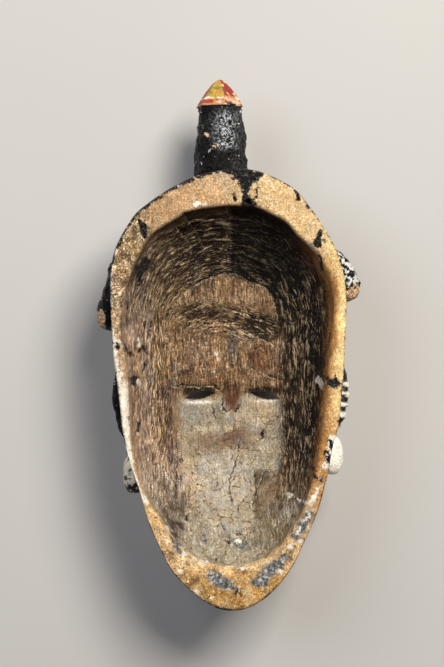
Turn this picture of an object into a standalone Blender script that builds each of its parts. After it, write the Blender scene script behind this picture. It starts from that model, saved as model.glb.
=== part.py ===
"""Carved and painted wooden face mask, lying on its face with the hollow side up.

Metres, +Z up. The crown points along +Y and the chin along -Y. The origin is the middle of the
mask's box at the level of the surface that it lies on. "Forward" is the distance from the flat
back rim towards the face, so it runs down from the rim.
"""

import math

import bmesh
import bpy

# Back rim, seen square on; powers are of an egg outline's x and y, and 2 and 2 are an ellipse
SHELL_WIDTH = 0.220
CROWN_REACH = 0.111  # widest line to the crown
CHIN_REACH = 0.307  # widest line to the chin
CROWN_POWERS = (2.0, 2.0)
CHIN_POWERS = (1.7, 2.6)
RIM_CHAMFER = 0.003

# Hollow's mouth; the rim band is what is left around it
RIM_LEFT = 0.0095
RIM_RIGHT = 0.015
RIM_CROWN = 0.036
RIM_CHIN = 0.042
MOUTH_BELOW_WIDEST = 0.014  # its own widest line
MOUTH_CHIN_POWERS = (2.0, 3.0)
MOUTH_CHAMFER = 0.004

# Depths, forward of the rim
FACE_DEPTH = 0.120  # to the bare forehead
REST_RISE = 0.014  # the three spots that the mask lies on stand proud of the forehead
FRONT_THICKNESS = 0.022
SIDE_POWER = 2.6  # 2 is a round side, more is a fuller one
FRONT_POWER = 2.0

# Hollow: a sloping wall down to a dished floor that rises towards the chin
FLOOR_WIDTH = 0.108
FLOOR_ACROSS = 0.003
FLOOR_CROWN_GAP = 0.058  # the mouth's edge to the floor's edge
FLOOR_CHIN_GAP = 0.028
FLOOR_DISH = 0.012  # how much deeper the floor's middle is than its edge
FLOOR_RISE = 0.042  # from the floor's middle to its chin end
WALL_CURVE = 1.6  # 1 is a straight wall, more is steeper at the rim
NOSE_PIT_WIDTH = 0.018
NOSE_PIT_LENGTH = 0.030
NOSE_PIT_DEPTH = 0.007

# Pierced eyes
EYE_SPACING = 0.065
EYE_BELOW_WIDEST = 0.107
EYES_ACROSS = 0.002
EYE_LENGTH = 0.031
EYE_GAP = 0.0078
EYE_SLANT = math.radians(11)  # the outer corner is the lower one

# Drilled holes for the cords
CORD_HOLE = 0.008
SIDE_HOLE_BELOW_WIDEST = 0.091
SIDE_HOLE_BELOW_RIM = 0.011
CROWN_HOLE_ACROSS = 0.016
CROWN_HOLE_SLANT = math.radians(38)

# Finial
FINIAL_REACH = 0.090  # beyond the crown
FINIAL_ACROSS = -0.0085
FINIAL_FORWARD = 0.055
POST_FOOT_WIDTH = 0.051
POST_TOP_WIDTH = 0.040
CAP_WIDTH = 0.046
CAP_LENGTH = 0.027
CAP_SIDES = 6
CAP_POWER = 0.62  # 1 is a straight-sided point, less bulges

# Locks of hair at the temples, by side: -1 is the left and 1 the right
LOCK_LENGTH = {-1: 0.068, 1: 0.052}  # the right one is broken short
LOCK_ABOVE_WIDEST = {-1: 0.026, 1: 0.036}
LOCK_STANDOUT = {-1: 0.027, 1: 0.024}
LOCK_FORWARD = 0.044
LOCK_DEPTH = 0.034
LOCK_THICKNESS = 0.028

# Ears and the ornaments under them
EAR_LENGTH = 0.076
EAR_BELOW_WIDEST = {-1: 0.114, 1: 0.107}
EAR_STANDOUT = 0.018
EAR_FORWARD = 0.050
EAR_DEPTH = 0.020
EAR_RECESS = 0.005
ORNAMENT_LENGTH = 0.037
ORNAMENT_DEPTH = 0.030
ORNAMENT_STANDOUT = 0.020
ORNAMENT_BELOW_WIDEST = {-1: 0.181, 1: 0.163}
ORNAMENT_FORWARD = 0.045

# Hair cap in plaits, and the buns over the forehead
PLAITS = 24
PLAIT_RISE = 0.003
HAIR_RISE = 0.003
HAIRLINE_BELOW_WIDEST = 0.006
HAIRLINE_DROP = 0.030  # from the forehead to the temples
HAIR_FULL_FORWARD = 0.050  # the hair thins out between here and the rim
BUN_SPACING = 0.062
BUN_ABOVE_WIDEST = 0.016
BUN_WIDTH = 0.038
BUN_FLAT = 0.022

# Face
BROW_ABOVE_EYES = 0.020
BROW_SPAN = 0.056
BROW_WIDTH = 0.009
BROW_RISE = 0.004
LID_WIDTH = 0.020
LID_RISE = 0.004
NOSE_ABOVE_EYES = 0.022
NOSE_LENGTH = 0.092
NOSE_WIDTH = 0.036
NOSE_BRIDGE = 0.014
MOUTH_BELOW_NOSE = 0.034
MOUTH_WIDTH = 0.052
LIP_HEIGHT = 0.011
LIP_RISE = 0.007

RING_SIDES = 4 * PLAITS
OVERLAP = 0.012  # how far a raised form is rooted in the wood
EDGE_SINK = 0.0012  # how far a raised band's edges lie under the face

mask_depth = FACE_DEPTH + REST_RISE
tip_y = (CROWN_REACH + CHIN_REACH + FINIAL_REACH) / 2
crown_y = tip_y - FINIAL_REACH
widest_y = crown_y - CROWN_REACH
chin_y = widest_y - CHIN_REACH
eye_y = widest_y - EYE_BELOW_WIDEST


def height(forward):
    """The height above the ground of a depth forward of the rim."""
    return mask_depth - forward


def smooth_step(value, low, high):
    t = min(1, max(0, (value - low) / (high - low)))
    return t * t * (3 - 2 * t)


def egg(middle, half_width, top_y, bottom_y, forward, chin_powers, sides=RING_SIDES):
    """A ring on an egg outline: one superellipse above its widest line and another below."""
    ring = []
    for step in range(sides):
        angle = 2 * math.pi * step / sides
        c, s = math.cos(angle), math.sin(angle)
        reach = top_y - middle[1] if s >= 0 else middle[1] - bottom_y
        powers = CROWN_POWERS if s >= 0 else chin_powers
        x = middle[0] + half_width * math.copysign(abs(c) ** (2 / powers[0]), c)
        y = middle[1] + reach * math.copysign(abs(s) ** (2 / powers[1]), s)
        ring.append((x, y, height(forward)))
    return ring


def side_of_shell(y, forward):
    """Half the shell's bare width at a height and depth."""
    powers = CROWN_POWERS if y > widest_y else CHIN_POWERS
    reach = CROWN_REACH if y > widest_y else CHIN_REACH
    share = (1 - (forward / FACE_DEPTH) ** FRONT_POWER) ** (1 / SIDE_POWER)
    left = max(0, 1 - (abs(y - widest_y) / (reach * share)) ** powers[1])
    return SHELL_WIDTH / 2 * share * left ** (1 / powers[0])


def bare_forward(x, y):
    """How far forward the bare outer surface is at a point, found by halving."""
    low, high = 0.0, FACE_DEPTH
    for _ in range(24):
        middle = (low + high) / 2
        if side_of_shell(y, middle) > abs(x):
            low = middle
        else:
            high = middle
    return low


def finished(name, mesh):
    """Turns a bmesh into an object in the scene."""
    data = bpy.data.meshes.new(name)
    mesh.to_mesh(data)
    mesh.free()
    data.shade_smooth()
    data.set_sharp_from_angle(angle=math.radians(35))
    piece = bpy.data.objects.new(name, data)
    bpy.context.collection.objects.link(piece)
    return piece


def loft(name, rings):
    """A closed solid through rings of equal length, its ends filled flat."""
    mesh = bmesh.new()
    rows = [[mesh.verts.new(point) for point in ring] for ring in rings]
    for low, high in zip(rows, rows[1:]):
        for i, vertex in enumerate(low):
            j = (i + 1) % len(low)
            mesh.faces.new((vertex, low[j], high[j], high[i]))
    mesh.faces.new(reversed(rows[0]))
    mesh.faces.new(rows[-1])
    bmesh.ops.recalc_face_normals(mesh, faces=mesh.faces)
    return finished(name, mesh)


def section(middle, y, half_width, half_depth, sides):
    """An ellipse across the Y axis, as a ring; middle is (x, forward)."""
    ring = []
    for step in range(sides):
        angle = 2 * math.pi * step / sides
        x = middle[0] + half_width * math.cos(angle)
        ring.append((x, y, height(middle[1]) + half_depth * math.sin(angle)))
    return ring


def outer_form():
    """The outer carving: egg rings that shrink towards the face, raised where there is hair."""
    half, inset = SHELL_WIDTH / 2, RIM_CHAMFER
    middle = (0, widest_y)
    rings = [egg(middle, half - inset, crown_y - inset, chin_y + inset, 0, CHIN_POWERS)]
    turns = 16
    for step in [*range(turns), turns - 0.1]:
        turn = math.pi / 2 * step / turns
        share = math.cos(turn) ** (2 / SIDE_POWER)
        forward = inset + (FACE_DEPTH - inset) * math.sin(turn) ** (2 / FRONT_POWER)
        top, bottom = widest_y + CROWN_REACH * share, widest_y - CHIN_REACH * share
        ring = egg(middle, half * share, top, bottom, forward, CHIN_POWERS)
        rings.append([haired(point, i % 2 == 0) for i, point in enumerate(ring)])
    return loft("mask", rings)


def haired(point, on_plait):
    """Pushes a point of the outer surface out from the middle of the rim, above the hairline."""
    x, y, z = point
    across = 2 * abs(x) / SHELL_WIDTH
    hairline = widest_y - HAIRLINE_BELOW_WIDEST - HAIRLINE_DROP * across**2
    out = math.hypot(x, y - widest_y) / CROWN_REACH
    rise = HAIR_RISE + (PLAIT_RISE * smooth_step(out, 0.1, 0.5) if on_plait else 0)
    rise *= smooth_step(y, hairline - HAIR_RISE, hairline + HAIR_RISE)
    rise *= smooth_step(mask_depth - z, RIM_CHAMFER, HAIR_FULL_FORWARD)
    away = (x, y - widest_y, z - mask_depth)
    grow = 1 + rise / math.hypot(*away)
    return away[0] * grow, widest_y + away[1] * grow, mask_depth + away[2] * grow


def hollow():
    """The inside: wall rings from the mouth down to the floor's edge, then the dished floor."""
    sides = 64
    half = (SHELL_WIDTH - RIM_LEFT - RIM_RIGHT) / 2
    mouth = ((RIM_LEFT - RIM_RIGHT) / 2, widest_y - MOUTH_BELOW_WIDEST)
    mouth_ends = (crown_y - RIM_CROWN, chin_y + RIM_CHIN)
    floor_ends = (mouth_ends[0] - FLOOR_CROWN_GAP, mouth_ends[1] + FLOOR_CHIN_GAP)
    floor = (FLOOR_ACROSS, sum(floor_ends) / 2)
    floor_reach = (floor_ends[0] - floor_ends[1]) / 2
    deepest = FACE_DEPTH - FRONT_THICKNESS
    edge = deepest - FLOOR_DISH

    def risen(ring, share):
        """Lifts the lower part of a ring, the more the nearer it is to the floor's level."""
        lifted = []
        for x, y, z in ring:
            below = min(1, max(0, (floor[1] - y) / floor_reach))
            lifted.append((x, y, z + FLOOR_RISE * share * below**2))
        return lifted

    rings = []
    for lift in (2 * MOUTH_CHAMFER, 0):
        wider = MOUTH_CHAMFER + lift
        ends = (mouth_ends[0] + wider, mouth_ends[1] - wider)
        rings.append(egg(mouth, half + wider, *ends, -lift, MOUTH_CHIN_POWERS, sides))
    wall_steps = 8
    for step in range(wall_steps + 1):
        share = step / wall_steps
        t = share**WALL_CURVE
        middle = tuple(a + (b - a) * t for a, b in zip(mouth, floor))
        ends = tuple(a + (b - a) * t for a, b in zip(mouth_ends, floor_ends))
        width = half + (FLOOR_WIDTH / 2 - half) * t
        forward = MOUTH_CHAMFER + (edge - MOUTH_CHAMFER) * share
        rings.append(risen(egg(middle, width, *ends, forward, MOUTH_CHIN_POWERS, sides), share))
    for share in (0.8, 0.55, 0.3, 0.08):
        forward = deepest - FLOOR_DISH * share**2
        ends = (floor[1] + floor_reach * share, floor[1] - floor_reach * share)
        width = FLOOR_WIDTH / 2 * share
        rings.append(risen(egg(floor, width, *ends, forward, MOUTH_CHIN_POWERS, sides), 1))
    return loft("hollow", rings)


def nose_pit():
    """A shallow pit in the floor behind the nose."""
    deepest = FACE_DEPTH - FRONT_THICKNESS
    middle = (EYES_ACROSS, eye_y)
    rings = []
    for step in range(9):
        turn = math.pi * (0.04 + 0.92 * step / 8)
        y = middle[1] + NOSE_PIT_LENGTH / 2 * math.cos(turn)
        fat = math.sin(turn)
        rings.append(section((middle[0], deepest), y, NOSE_PIT_WIDTH / 2 * fat, NOSE_PIT_DEPTH * fat, 14))
    return loft("nose_pit", rings)


def eye_slit(side):
    """A lens-shaped cutter, slanting down towards the temple and right through the face."""
    steps = 7
    outline = []
    for edge in (1, -1):
        for step in range(steps):
            along = (step / steps - 0.5) * edge
            across = edge * (0.5 - 2 * along**2) * EYE_GAP
            outline.append((along * EYE_LENGTH, across))
    slant = -side * EYE_SLANT
    rings = []
    for forward in (mask_depth + OVERLAP, 0):
        ring = []
        for along, across in outline:
            x = EYES_ACROSS + side * EYE_SPACING / 2
            x += along * math.cos(slant) - across * math.sin(slant)
            y = eye_y + along * math.sin(slant) + across * math.cos(slant)
            ring.append((x, y, height(forward)))
        rings.append(ring)
    return loft("eye_slit", rings)


def cord_hole(start, direction, length):
    """A drill cutter from a start point along a direction whose X or Y part is nought."""
    sides = 12
    across = (-direction[1], direction[0], 0)
    size = math.hypot(*across)
    across = tuple(part / size for part in across)
    up = tuple(
        direction[(i + 1) % 3] * across[(i + 2) % 3] - direction[(i + 2) % 3] * across[(i + 1) % 3]
        for i in range(3)
    )
    rings = []
    for reach in (0, length):
        ring = []
        for step in range(sides):
            angle = 2 * math.pi * step / sides
            c, s = CORD_HOLE / 2 * math.cos(angle), CORD_HOLE / 2 * math.sin(angle)
            ring.append(tuple(start[i] + direction[i] * reach + across[i] * c + up[i] * s for i in range(3)))
        rings.append(ring)
    return loft("cord_hole", rings)


def cord_holes():
    """One hole through each side of the rim and a slanting one through the crown."""
    side_y = widest_y - SIDE_HOLE_BELOW_WIDEST
    inside = 2 * OVERLAP  # how far inside the wall each side drill starts
    drills = []
    for side, rim in ((-1, RIM_LEFT), (1, RIM_RIGHT)):
        start = (side * (SHELL_WIDTH / 2 - rim - inside), side_y, height(SIDE_HOLE_BELOW_RIM))
        drills.append(cord_hole(start, (side, 0, 0), inside + rim + OVERLAP))
    slope = (0, math.cos(CROWN_HOLE_SLANT), -math.sin(CROWN_HOLE_SLANT))
    start = (CROWN_HOLE_ACROSS, crown_y - RIM_CROWN - OVERLAP * slope[1], height(OVERLAP * slope[2]))
    drills.append(cord_hole(start, slope, OVERLAP + 2 * RIM_CROWN))
    return drills


def finial_post():
    """A slightly tapered round post with a swelling foot, growing out of the crown."""
    middle = (FINIAL_ACROSS, FINIAL_FORWARD)
    foot, top = POST_FOOT_WIDTH / 2, POST_TOP_WIDTH / 2
    start, end = crown_y - POST_FOOT_WIDTH, tip_y - CAP_LENGTH
    swell = foot / 10
    stations = ((start, foot), (crown_y, foot), ((crown_y + end) / 2, foot - swell))
    stations += ((end - 3 * swell, top - swell / 2), (end + swell, top))
    rings = [section(middle, y, radius, radius, 20) for y, radius in stations]
    return loft("finial_post", rings)


def finial_cap():
    """A faceted cap with bulging sides that draws in to a point and overhangs its post a little."""
    middle = (FINIAL_ACROSS, FINIAL_FORWARD)
    start = tip_y - CAP_LENGTH
    half = CAP_WIDTH / 2
    lip = CAP_LENGTH / 8
    rings = [section(middle, start - lip / 2, half * 0.8, half * 0.8, CAP_SIDES)]
    for along in (0, 0.12, 0.25, 0.4, 0.55, 0.7, 0.83, 0.93, 0.985, 0.9999):
        radius = half * (1 - along) ** CAP_POWER
        rings.append(section(middle, start + CAP_LENGTH * along, radius, radius, CAP_SIDES))
    return loft("finial_cap", rings)


def lock(side):
    """A lock of hair at the temple: thin where it leaves the shell, fat at its hanging end."""
    top_y = widest_y + LOCK_ABOVE_WIDEST[side]
    rings = []
    for along in (0, 0.12, 0.3, 0.5, 0.7, 0.85, 0.95, 1):
        y = top_y - LOCK_LENGTH[side] * along
        fatness = math.sin(math.pi * min(0.985, along * 0.86 + 0.1)) ** 0.6
        half = LOCK_THICKNESS / 2 * fatness
        out = LOCK_STANDOUT[side] * smooth_step(along, -0.35, 0.8)
        middle = (side * (side_of_shell(y, LOCK_FORWARD) + out - half), LOCK_FORWARD)
        rings.append(section(middle, y, half, LOCK_DEPTH / 2 * fatness, 16))
    return loft("lock", rings)


def ear(side):
    """A half-round ear with a hollowed front, standing off the side of the head."""
    middle_y = widest_y - EAR_BELOW_WIDEST[side]
    steps = 12

    def outline(shrink, forward):
        ring = []
        for step in range(steps + 1):
            turn = math.pi * step / steps
            y = middle_y + (EAR_LENGTH / 2 - shrink) * math.cos(turn)
            bulge = math.sin(turn) ** 0.6 * (EAR_STANDOUT + OVERLAP - shrink)
            ring.append((side * (side_of_shell(y, EAR_FORWARD) - OVERLAP + bulge), y, height(forward)))
        for end in (ring[-1], ring[0]):
            ring.append((end[0] - side * OVERLAP, end[1], height(forward)))
        return ring

    back, front = EAR_FORWARD - EAR_DEPTH / 2, EAR_FORWARD + EAR_DEPTH / 2
    edge = EAR_DEPTH / 5
    rings = [outline(edge, back), outline(0, back + edge), outline(0, front - edge), outline(edge, front)]
    rings.append(outline(1.6 * edge, front - EAR_RECESS))
    return loft("ear", rings)


def ornament(side):
    """A rounded ear ornament under the ear."""
    middle_y = widest_y - ORNAMENT_BELOW_WIDEST[side]
    half = (ORNAMENT_STANDOUT + OVERLAP) / 2
    middle_x = side * (side_of_shell(middle_y, ORNAMENT_FORWARD) + ORNAMENT_STANDOUT - half)
    rings = []
    for step in range(9):
        turn = math.pi * (0.06 + 0.88 * step / 8)
        y = middle_y + ORNAMENT_LENGTH / 2 * math.cos(turn)
        fat = math.sin(turn) ** 0.6
        rings.append(section((middle_x, ORNAMENT_FORWARD), y, half * fat, ORNAMENT_DEPTH / 2 * fat, 14))
    return loft("ornament", rings)


def bun(side):
    """A round bun over the forehead, its front worn to one of the spots that the mask lies on."""
    x, y = side * BUN_SPACING / 2, widest_y + BUN_ABOVE_WIDEST
    sides = 20
    rings = []
    stations = ((FACE_DEPTH - 3 * OVERLAP, 0.96), (FACE_DEPTH, 1.0), (FACE_DEPTH + REST_RISE / 2, 0.94))
    stations += ((mask_depth, BUN_FLAT / BUN_WIDTH),)
    for forward, share in stations:
        ring = []
        for step in range(sides):
            angle = 2 * math.pi * step / sides
            radius = BUN_WIDTH / 2 * share
            ring.append((x + radius * math.cos(angle), y + radius * math.sin(angle), height(forward)))
        rings.append(ring)
    return loft("bun", rings)


def nose():
    """A long straight nose that widens and rises to its tip, the third spot that the mask lies on."""
    top_y = eye_y + NOSE_ABOVE_EYES
    bridge = NOSE_BRIDGE / NOSE_WIDTH
    rings = []
    for along, widening, rise in (
        (0, 0, 0.02),
        (0.15, 0, 0.15),
        (0.35, 0.02, 0.38),
        (0.55, 0.12, 0.62),
        (0.72, 0.38, 0.82),
        (0.84, 0.82, 0.96),
        (0.91, 1, 1.0),
        (0.96, 0.9, 0.85),
        (1, 0.4, 0.4),
    ):
        y = top_y - NOSE_LENGTH * along
        surface = bare_forward(0, y)
        root = surface - OVERLAP
        front = surface + (mask_depth + 0.0008 - surface) * rise
        half = NOSE_WIDTH / 2 * (bridge + (1 - bridge) * widening)
        rings.append(section((0, (root + front) / 2), y, half, (front - root) / 2, 18))
    return loft("nose", rings)


def ridge(name, path, half_width, rise):
    """A raised band lying on the face along a path of (x, y) points, tapered at both ends."""
    rings = []
    last = len(path) - 1
    for i, (x, y) in enumerate(path):
        before, after = path[max(0, i - 1)], path[min(last, i + 1)]
        along = (after[0] - before[0], after[1] - before[1])
        length = math.hypot(*along)
        normal = (-along[1] / length, along[0] / length)
        taper = math.sin(math.pi * (0.08 + 0.84 * i / last)) ** 0.7
        ring = []
        for step in range(10):
            angle = 2 * math.pi * step / 10
            out = half_width * taper * math.cos(angle)
            px, py = x + normal[0] * out, y + normal[1] * out
            swell = (rise + EDGE_SINK) * taper if math.sin(angle) > 0 else OVERLAP / 2
            lift = swell * math.sin(angle) - EDGE_SINK
            ring.append((px, py, height(bare_forward(px, py) + lift)))
        rings.append(ring)
    return loft(name, rings)


def brow(side):
    """An arched brow over the eye."""
    path = []
    for step in range(11):
        along = step / 10 - 0.5
        x = side * (EYE_SPACING / 2 + 0.002 + along * BROW_SPAN)
        path.append((x, eye_y + BROW_ABOVE_EYES - 1.4 * BROW_ABOVE_EYES * (along + 0.05) ** 2))
    return ridge("brow", path, BROW_WIDTH / 2, BROW_RISE)


def lids(side):
    """The swelling of both lids, which the eye slit is then cut through."""
    path = []
    span = EYE_LENGTH + LID_WIDTH / 2
    for step in range(9):
        along = step / 8 - 0.5
        x = EYES_ACROSS + side * EYE_SPACING / 2 + along * span * math.cos(EYE_SLANT)
        path.append((x, eye_y - side * along * span * math.sin(EYE_SLANT)))
    return ridge("lids", path, LID_WIDTH / 2, LID_RISE)


def lip(which):
    """The upper lip for 1 and the lower lip for -1, meeting in a line."""
    mouth_y = eye_y + NOSE_ABOVE_EYES - NOSE_LENGTH - MOUTH_BELOW_NOSE
    path = []
    for step in range(9):
        along = step / 8 - 0.5
        y = mouth_y + which * LIP_HEIGHT * 0.45 * (1 - 2 * along**2) - LIP_HEIGHT * along**2
        path.append((along * MOUTH_WIDTH, y))
    return ridge("lip", path, LIP_HEIGHT / 2, LIP_RISE)


def ground():
    """A slab under the mask that cuts its lowest spots flat."""
    reach = CROWN_REACH + CHIN_REACH
    corners = ((-reach, -reach), (reach, -reach), (reach, reach), (-reach, reach))
    return loft("ground", [[(x, y, z) for x, y in corners] for z in (-REST_RISE, 0)])


def apply_to(mask, piece, operation):
    """Joins a carved form to the mask, or cuts it away; the form itself isn't part of the model."""
    boolean = mask.modifiers.new(piece.name, "BOOLEAN")
    boolean.operation = operation
    boolean.object = piece
    piece.hide_render = True
    piece.display_type = "WIRE"


def wood():
    """Old hard wood, pale where bare and dark in the hollow."""
    material = bpy.data.materials.new("carved wood")
    material.use_nodes = True
    shader = material.node_tree.nodes["Principled BSDF"]
    shader.inputs["Base Color"].default_value = (0.33, 0.22, 0.12, 1)
    shader.inputs["Roughness"].default_value = 0.75
    shader.inputs["Metallic"].default_value = 0.0
    return material


def main():
    for piece in list(bpy.data.objects):
        bpy.data.objects.remove(piece)
    mask = outer_form()
    raised = [finial_post(), finial_cap(), nose(), lip(1), lip(-1)]
    for side in (-1, 1):
        raised += [lock(side), ear(side), ornament(side), bun(side), brow(side), lids(side)]
    for piece in raised:
        apply_to(mask, piece, "UNION")
    for piece in [hollow(), nose_pit(), eye_slit(-1), eye_slit(1), *cord_holes(), ground()]:
        apply_to(mask, piece, "DIFFERENCE")
    mask.data.materials.append(wood())


main()
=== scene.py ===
import math
import bpy
import numpy as np
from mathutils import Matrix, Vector, kdtree


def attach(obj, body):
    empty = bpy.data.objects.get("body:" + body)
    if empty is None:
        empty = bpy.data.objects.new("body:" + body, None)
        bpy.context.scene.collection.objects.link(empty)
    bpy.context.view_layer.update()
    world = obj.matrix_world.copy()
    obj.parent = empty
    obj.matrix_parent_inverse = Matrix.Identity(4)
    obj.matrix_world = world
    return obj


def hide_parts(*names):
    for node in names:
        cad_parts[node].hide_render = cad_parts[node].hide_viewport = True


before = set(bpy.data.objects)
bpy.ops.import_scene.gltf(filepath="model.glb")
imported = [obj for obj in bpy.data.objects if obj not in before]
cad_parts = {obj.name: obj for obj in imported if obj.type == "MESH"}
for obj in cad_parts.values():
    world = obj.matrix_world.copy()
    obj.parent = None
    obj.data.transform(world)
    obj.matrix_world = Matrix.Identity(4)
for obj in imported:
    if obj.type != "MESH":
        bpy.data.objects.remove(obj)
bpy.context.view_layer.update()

# The camera looks straight down into the hollow. Places on the mask are given as the photograph's
# pixels (444 x 667, x to the right, y down) and turned to metres at their own depth by toPlan.
photo = {"midAcross": 222, "midDown": 333.5, "mmPerPixel": 0.94, "shift": (-8.5, 7.4), "distance": 1700}

# The mask's main sizes in metres, as in the CAD. "Forward" is the depth from the back rim to the face.
body = {
    "depth": 0.134, "faceDepth": 0.120, "halfWidth": 0.110, "widestY": 0.053, "bevel": 0.0022,
    "crownReach": 0.111, "chinReach": 0.307, "crownPowers": (2.0, 2.0), "chinPowers": (1.7, 2.6),
    "sidePower": 2.6, "cellsAcross": 160, "cellsAlong": 272,
}


def smooth(value, low, high):
    # 0 below low, 1 above high, and 3t^2 - 2t^3 between; low may be the larger
    t = np.clip((value - low) / (high - low), 0, 1)
    return t * t * (3 - 2 * t)


def linear(hexColour):
    # sRGB hex to linear light: c/12.92 in the darks, ((c + 0.055) / 1.055)^2.4 above
    parts = np.array([int(hexColour[i:i + 2], 16) / 255 for i in (1, 3, 5)])
    return np.where(parts <= 0.04045, parts / 12.92, ((parts + 0.055) / 1.055) ** 2.4)


def rgba(hexColour):
    return (*linear(hexColour), 1.0)


def toPlan(px, py, forward=0.0):
    # pixel to metres: offset from the frame's middle x mm per pixel, grown by how far it lies behind the rim
    grow = (photo["distance"] + forward * 1000) / photo["distance"]
    x = (np.asarray(px, float) - photo["midAcross"]) * photo["mmPerPixel"] * grow + photo["shift"][0]
    y = (photo["midDown"] - np.asarray(py, float)) * photo["mmPerPixel"] * grow + photo["shift"][1]
    return np.stack([x, y], axis=-1) / 1000


def toPhoto(points):
    # the inverse of toPlan for points (x, y, z)
    grow = (photo["distance"] + (body["depth"] - points[..., 2]) * 1000) / photo["distance"]
    px = (points[..., 0] * 1000 - photo["shift"][0]) / (photo["mmPerPixel"] * grow) + photo["midAcross"]
    py = photo["midDown"] - (points[..., 1] * 1000 - photo["shift"][1]) / (photo["mmPerPixel"] * grow)
    return px, py


def hashed(ix, iy, iz, seed):
    # a repeatable number from 0 to 1 for each cell of whole numbers
    mixed = (ix * 374761393 + iy * 668265263 + iz * 1442695041 + seed * 97531) & 0xFFFFFFFF
    mixed = ((mixed ^ (mixed >> 13)) * 1274126177) & 0xFFFFFFFF
    return ((mixed ^ (mixed >> 16)) & 0xFFFFFF) / 0xFFFFFF


def lumps(points, size, seed, octaves=3):
    # smooth noise from -1 to 1: random values at the corners of cells of a size, blended, and summed by octaves
    total, share, weightSum = 0, 1.0, 0
    for octave in range(octaves):
        scaled = points / size * 2**octave
        base = np.floor(scaled).astype(np.int64)
        part = scaled - base
        part = part * part * (3 - 2 * part)
        for corner in range(8):
            offset = np.array([corner & 1, corner >> 1 & 1, corner >> 2])
            weight = np.prod(np.where(offset, part, 1 - part), axis=-1)
            cell = base + offset
            total = total + share * weight * (2 * hashed(cell[..., 0], cell[..., 1], cell[..., 2], seed + octave) - 1)
        weightSum += share
        share *= 0.5
    return total / weightSum


def gouges(along, across, seed, wrap=0):
    # overlapping scoops: each cell holds one jittered bowl, and the wood is the lowest bowl near a point
    lowest = np.full(along.shape, 9.0)
    cellA, cellB = np.floor(along).astype(np.int64), np.floor(across).astype(np.int64)
    for i in (-1, 0, 1):
        for j in (-1, 0, 1):
            a, b = cellA + i, cellB + j
            key = a % wrap if wrap else a
            awayA = along - a - 0.15 - 0.7 * hashed(key, b, 0 * b, seed)
            awayB = across - b - 0.15 - 0.7 * hashed(key, b, 0 * b + 1, seed)
            bowl = awayA**2 * 1.1 + awayB**2 * 1.9 + 0.3 * hashed(key, b, 0 * b + 2, seed)
            lowest = np.minimum(lowest, bowl)
    return np.clip(lowest, 0, 1.3)


def closedCurve(points, samples=1600):
    # Catmull-Rom through the points, then stepped evenly by length; the last sample is the first
    p = np.asarray(points, float)
    before, after, later = np.roll(p, 1, 0), np.roll(p, -1, 0), np.roll(p, -2, 0)
    t = np.linspace(0, 1, 24, endpoint=False)[None, :, None]
    a, b, c, d = (q[:, None, :] for q in (before, p, after, later))
    spans = 2 * b + (c - a) * t + (2 * a - 5 * b + 4 * c - d) * t**2 + (3 * b - a - 3 * c + d) * t**3
    dense = (spans / 2).reshape(-1, 2)
    dense = np.vstack([dense, dense[:1]])
    length = np.concatenate([[0], np.cumsum(np.linalg.norm(np.diff(dense, axis=0), axis=1))])
    even = np.linspace(0, length[-1], samples + 1)
    return np.stack([np.interp(even, length, dense[:, 0]), np.interp(even, length, dense[:, 1])], axis=-1)


def onCurve(curve, share):
    # the point at a share of the curve's length
    places = np.linspace(0, 1, len(curve))
    share = np.mod(share, 1)
    return np.stack([np.interp(share, places, curve[:, 0]), np.interp(share, places, curve[:, 1])], axis=-1)


def toLine(x, y, points):
    # signed distance to the nearest leg of a polyline, positive on its right, and its share of the length
    best, side, where = np.full(x.shape, 1e9), np.ones(x.shape), np.zeros(x.shape)
    legs = list(zip(points, points[1:]))
    for number, ((ax, ay), (bx, by)) in enumerate(legs):
        dx, dy = bx - ax, by - ay
        t = np.clip(((x - ax) * dx + (y - ay) * dy) / (dx * dx + dy * dy), 0, 1)
        awayX, awayY = x - ax - t * dx, y - ay - t * dy
        away = np.hypot(awayX, awayY)
        nearer = away < best
        best = np.where(nearer, away, best)
        side = np.where(nearer, np.where(dx * awayY - dy * awayX >= 0, 1, -1), side)
        where = np.where(nearer, (number + t) / len(legs), where)
    return best * side, where


def blot(x, y, ax, ay, bx, by, wideA, wideB):
    # how far inside a tapered blot from a to b a point lies, in pixels; negative outside
    dx, dy = bx - ax, by - ay
    t = np.clip(((x - ax) * dx + (y - ay) * dy) / max(dx * dx + dy * dy, 1e-6), 0, 1)
    return wideA + (wideB - wideA) * t - np.hypot(x - ax - t * dx, y - ay - t * dy)


def patch(x, y, cx, cy, rx, ry, soft=0.5):
    # 1 inside an ellipse and 0 outside, fading over the soft share of its radius
    return 1 - smooth(np.hypot((x - cx) / rx, (y - cy) / ry), 1 - soft, 1 + soft)


def tint(colour, hexColour, weight):
    # mixes an array of colours towards one colour by a weight
    return colour + (linear(hexColour) - colour) * np.clip(weight, 0, 1)[..., None]


def layered(first, px, py, rows):
    # tints a first colour row by row: a colour, its strength, and the middle, radii and softness of the
    # ellipse where it lies, if it doesn't lie everywhere
    colour = np.zeros((*px.shape, 3)) + linear(first)
    for hexColour, strength, *ellipse in rows:
        colour = tint(colour, hexColour, strength * (patch(px, py, *ellipse) if ellipse else 1.0))
    return colour


def quadsOf(numbers, flip=False):
    # the quads of a grid of point numbers
    a, b, c, d = numbers[:-1, :-1], numbers[1:, :-1], numbers[1:, 1:], numbers[:-1, 1:]
    return np.stack([a, d, c, b] if flip else [a, b, c, d], axis=-1).reshape(-1, 4)


def writeAttributes(mesh, attributes):
    # values for each point: four wide as a colour, three wide as a vector
    for label, values in attributes.items():
        isColour = values.shape[1] == 4
        made = mesh.attributes.new(label, "FLOAT_COLOR" if isColour else "FLOAT_VECTOR", "POINT")
        made.data.foreach_set("color" if isColour else "vector", values.astype(np.float32).ravel())


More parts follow.
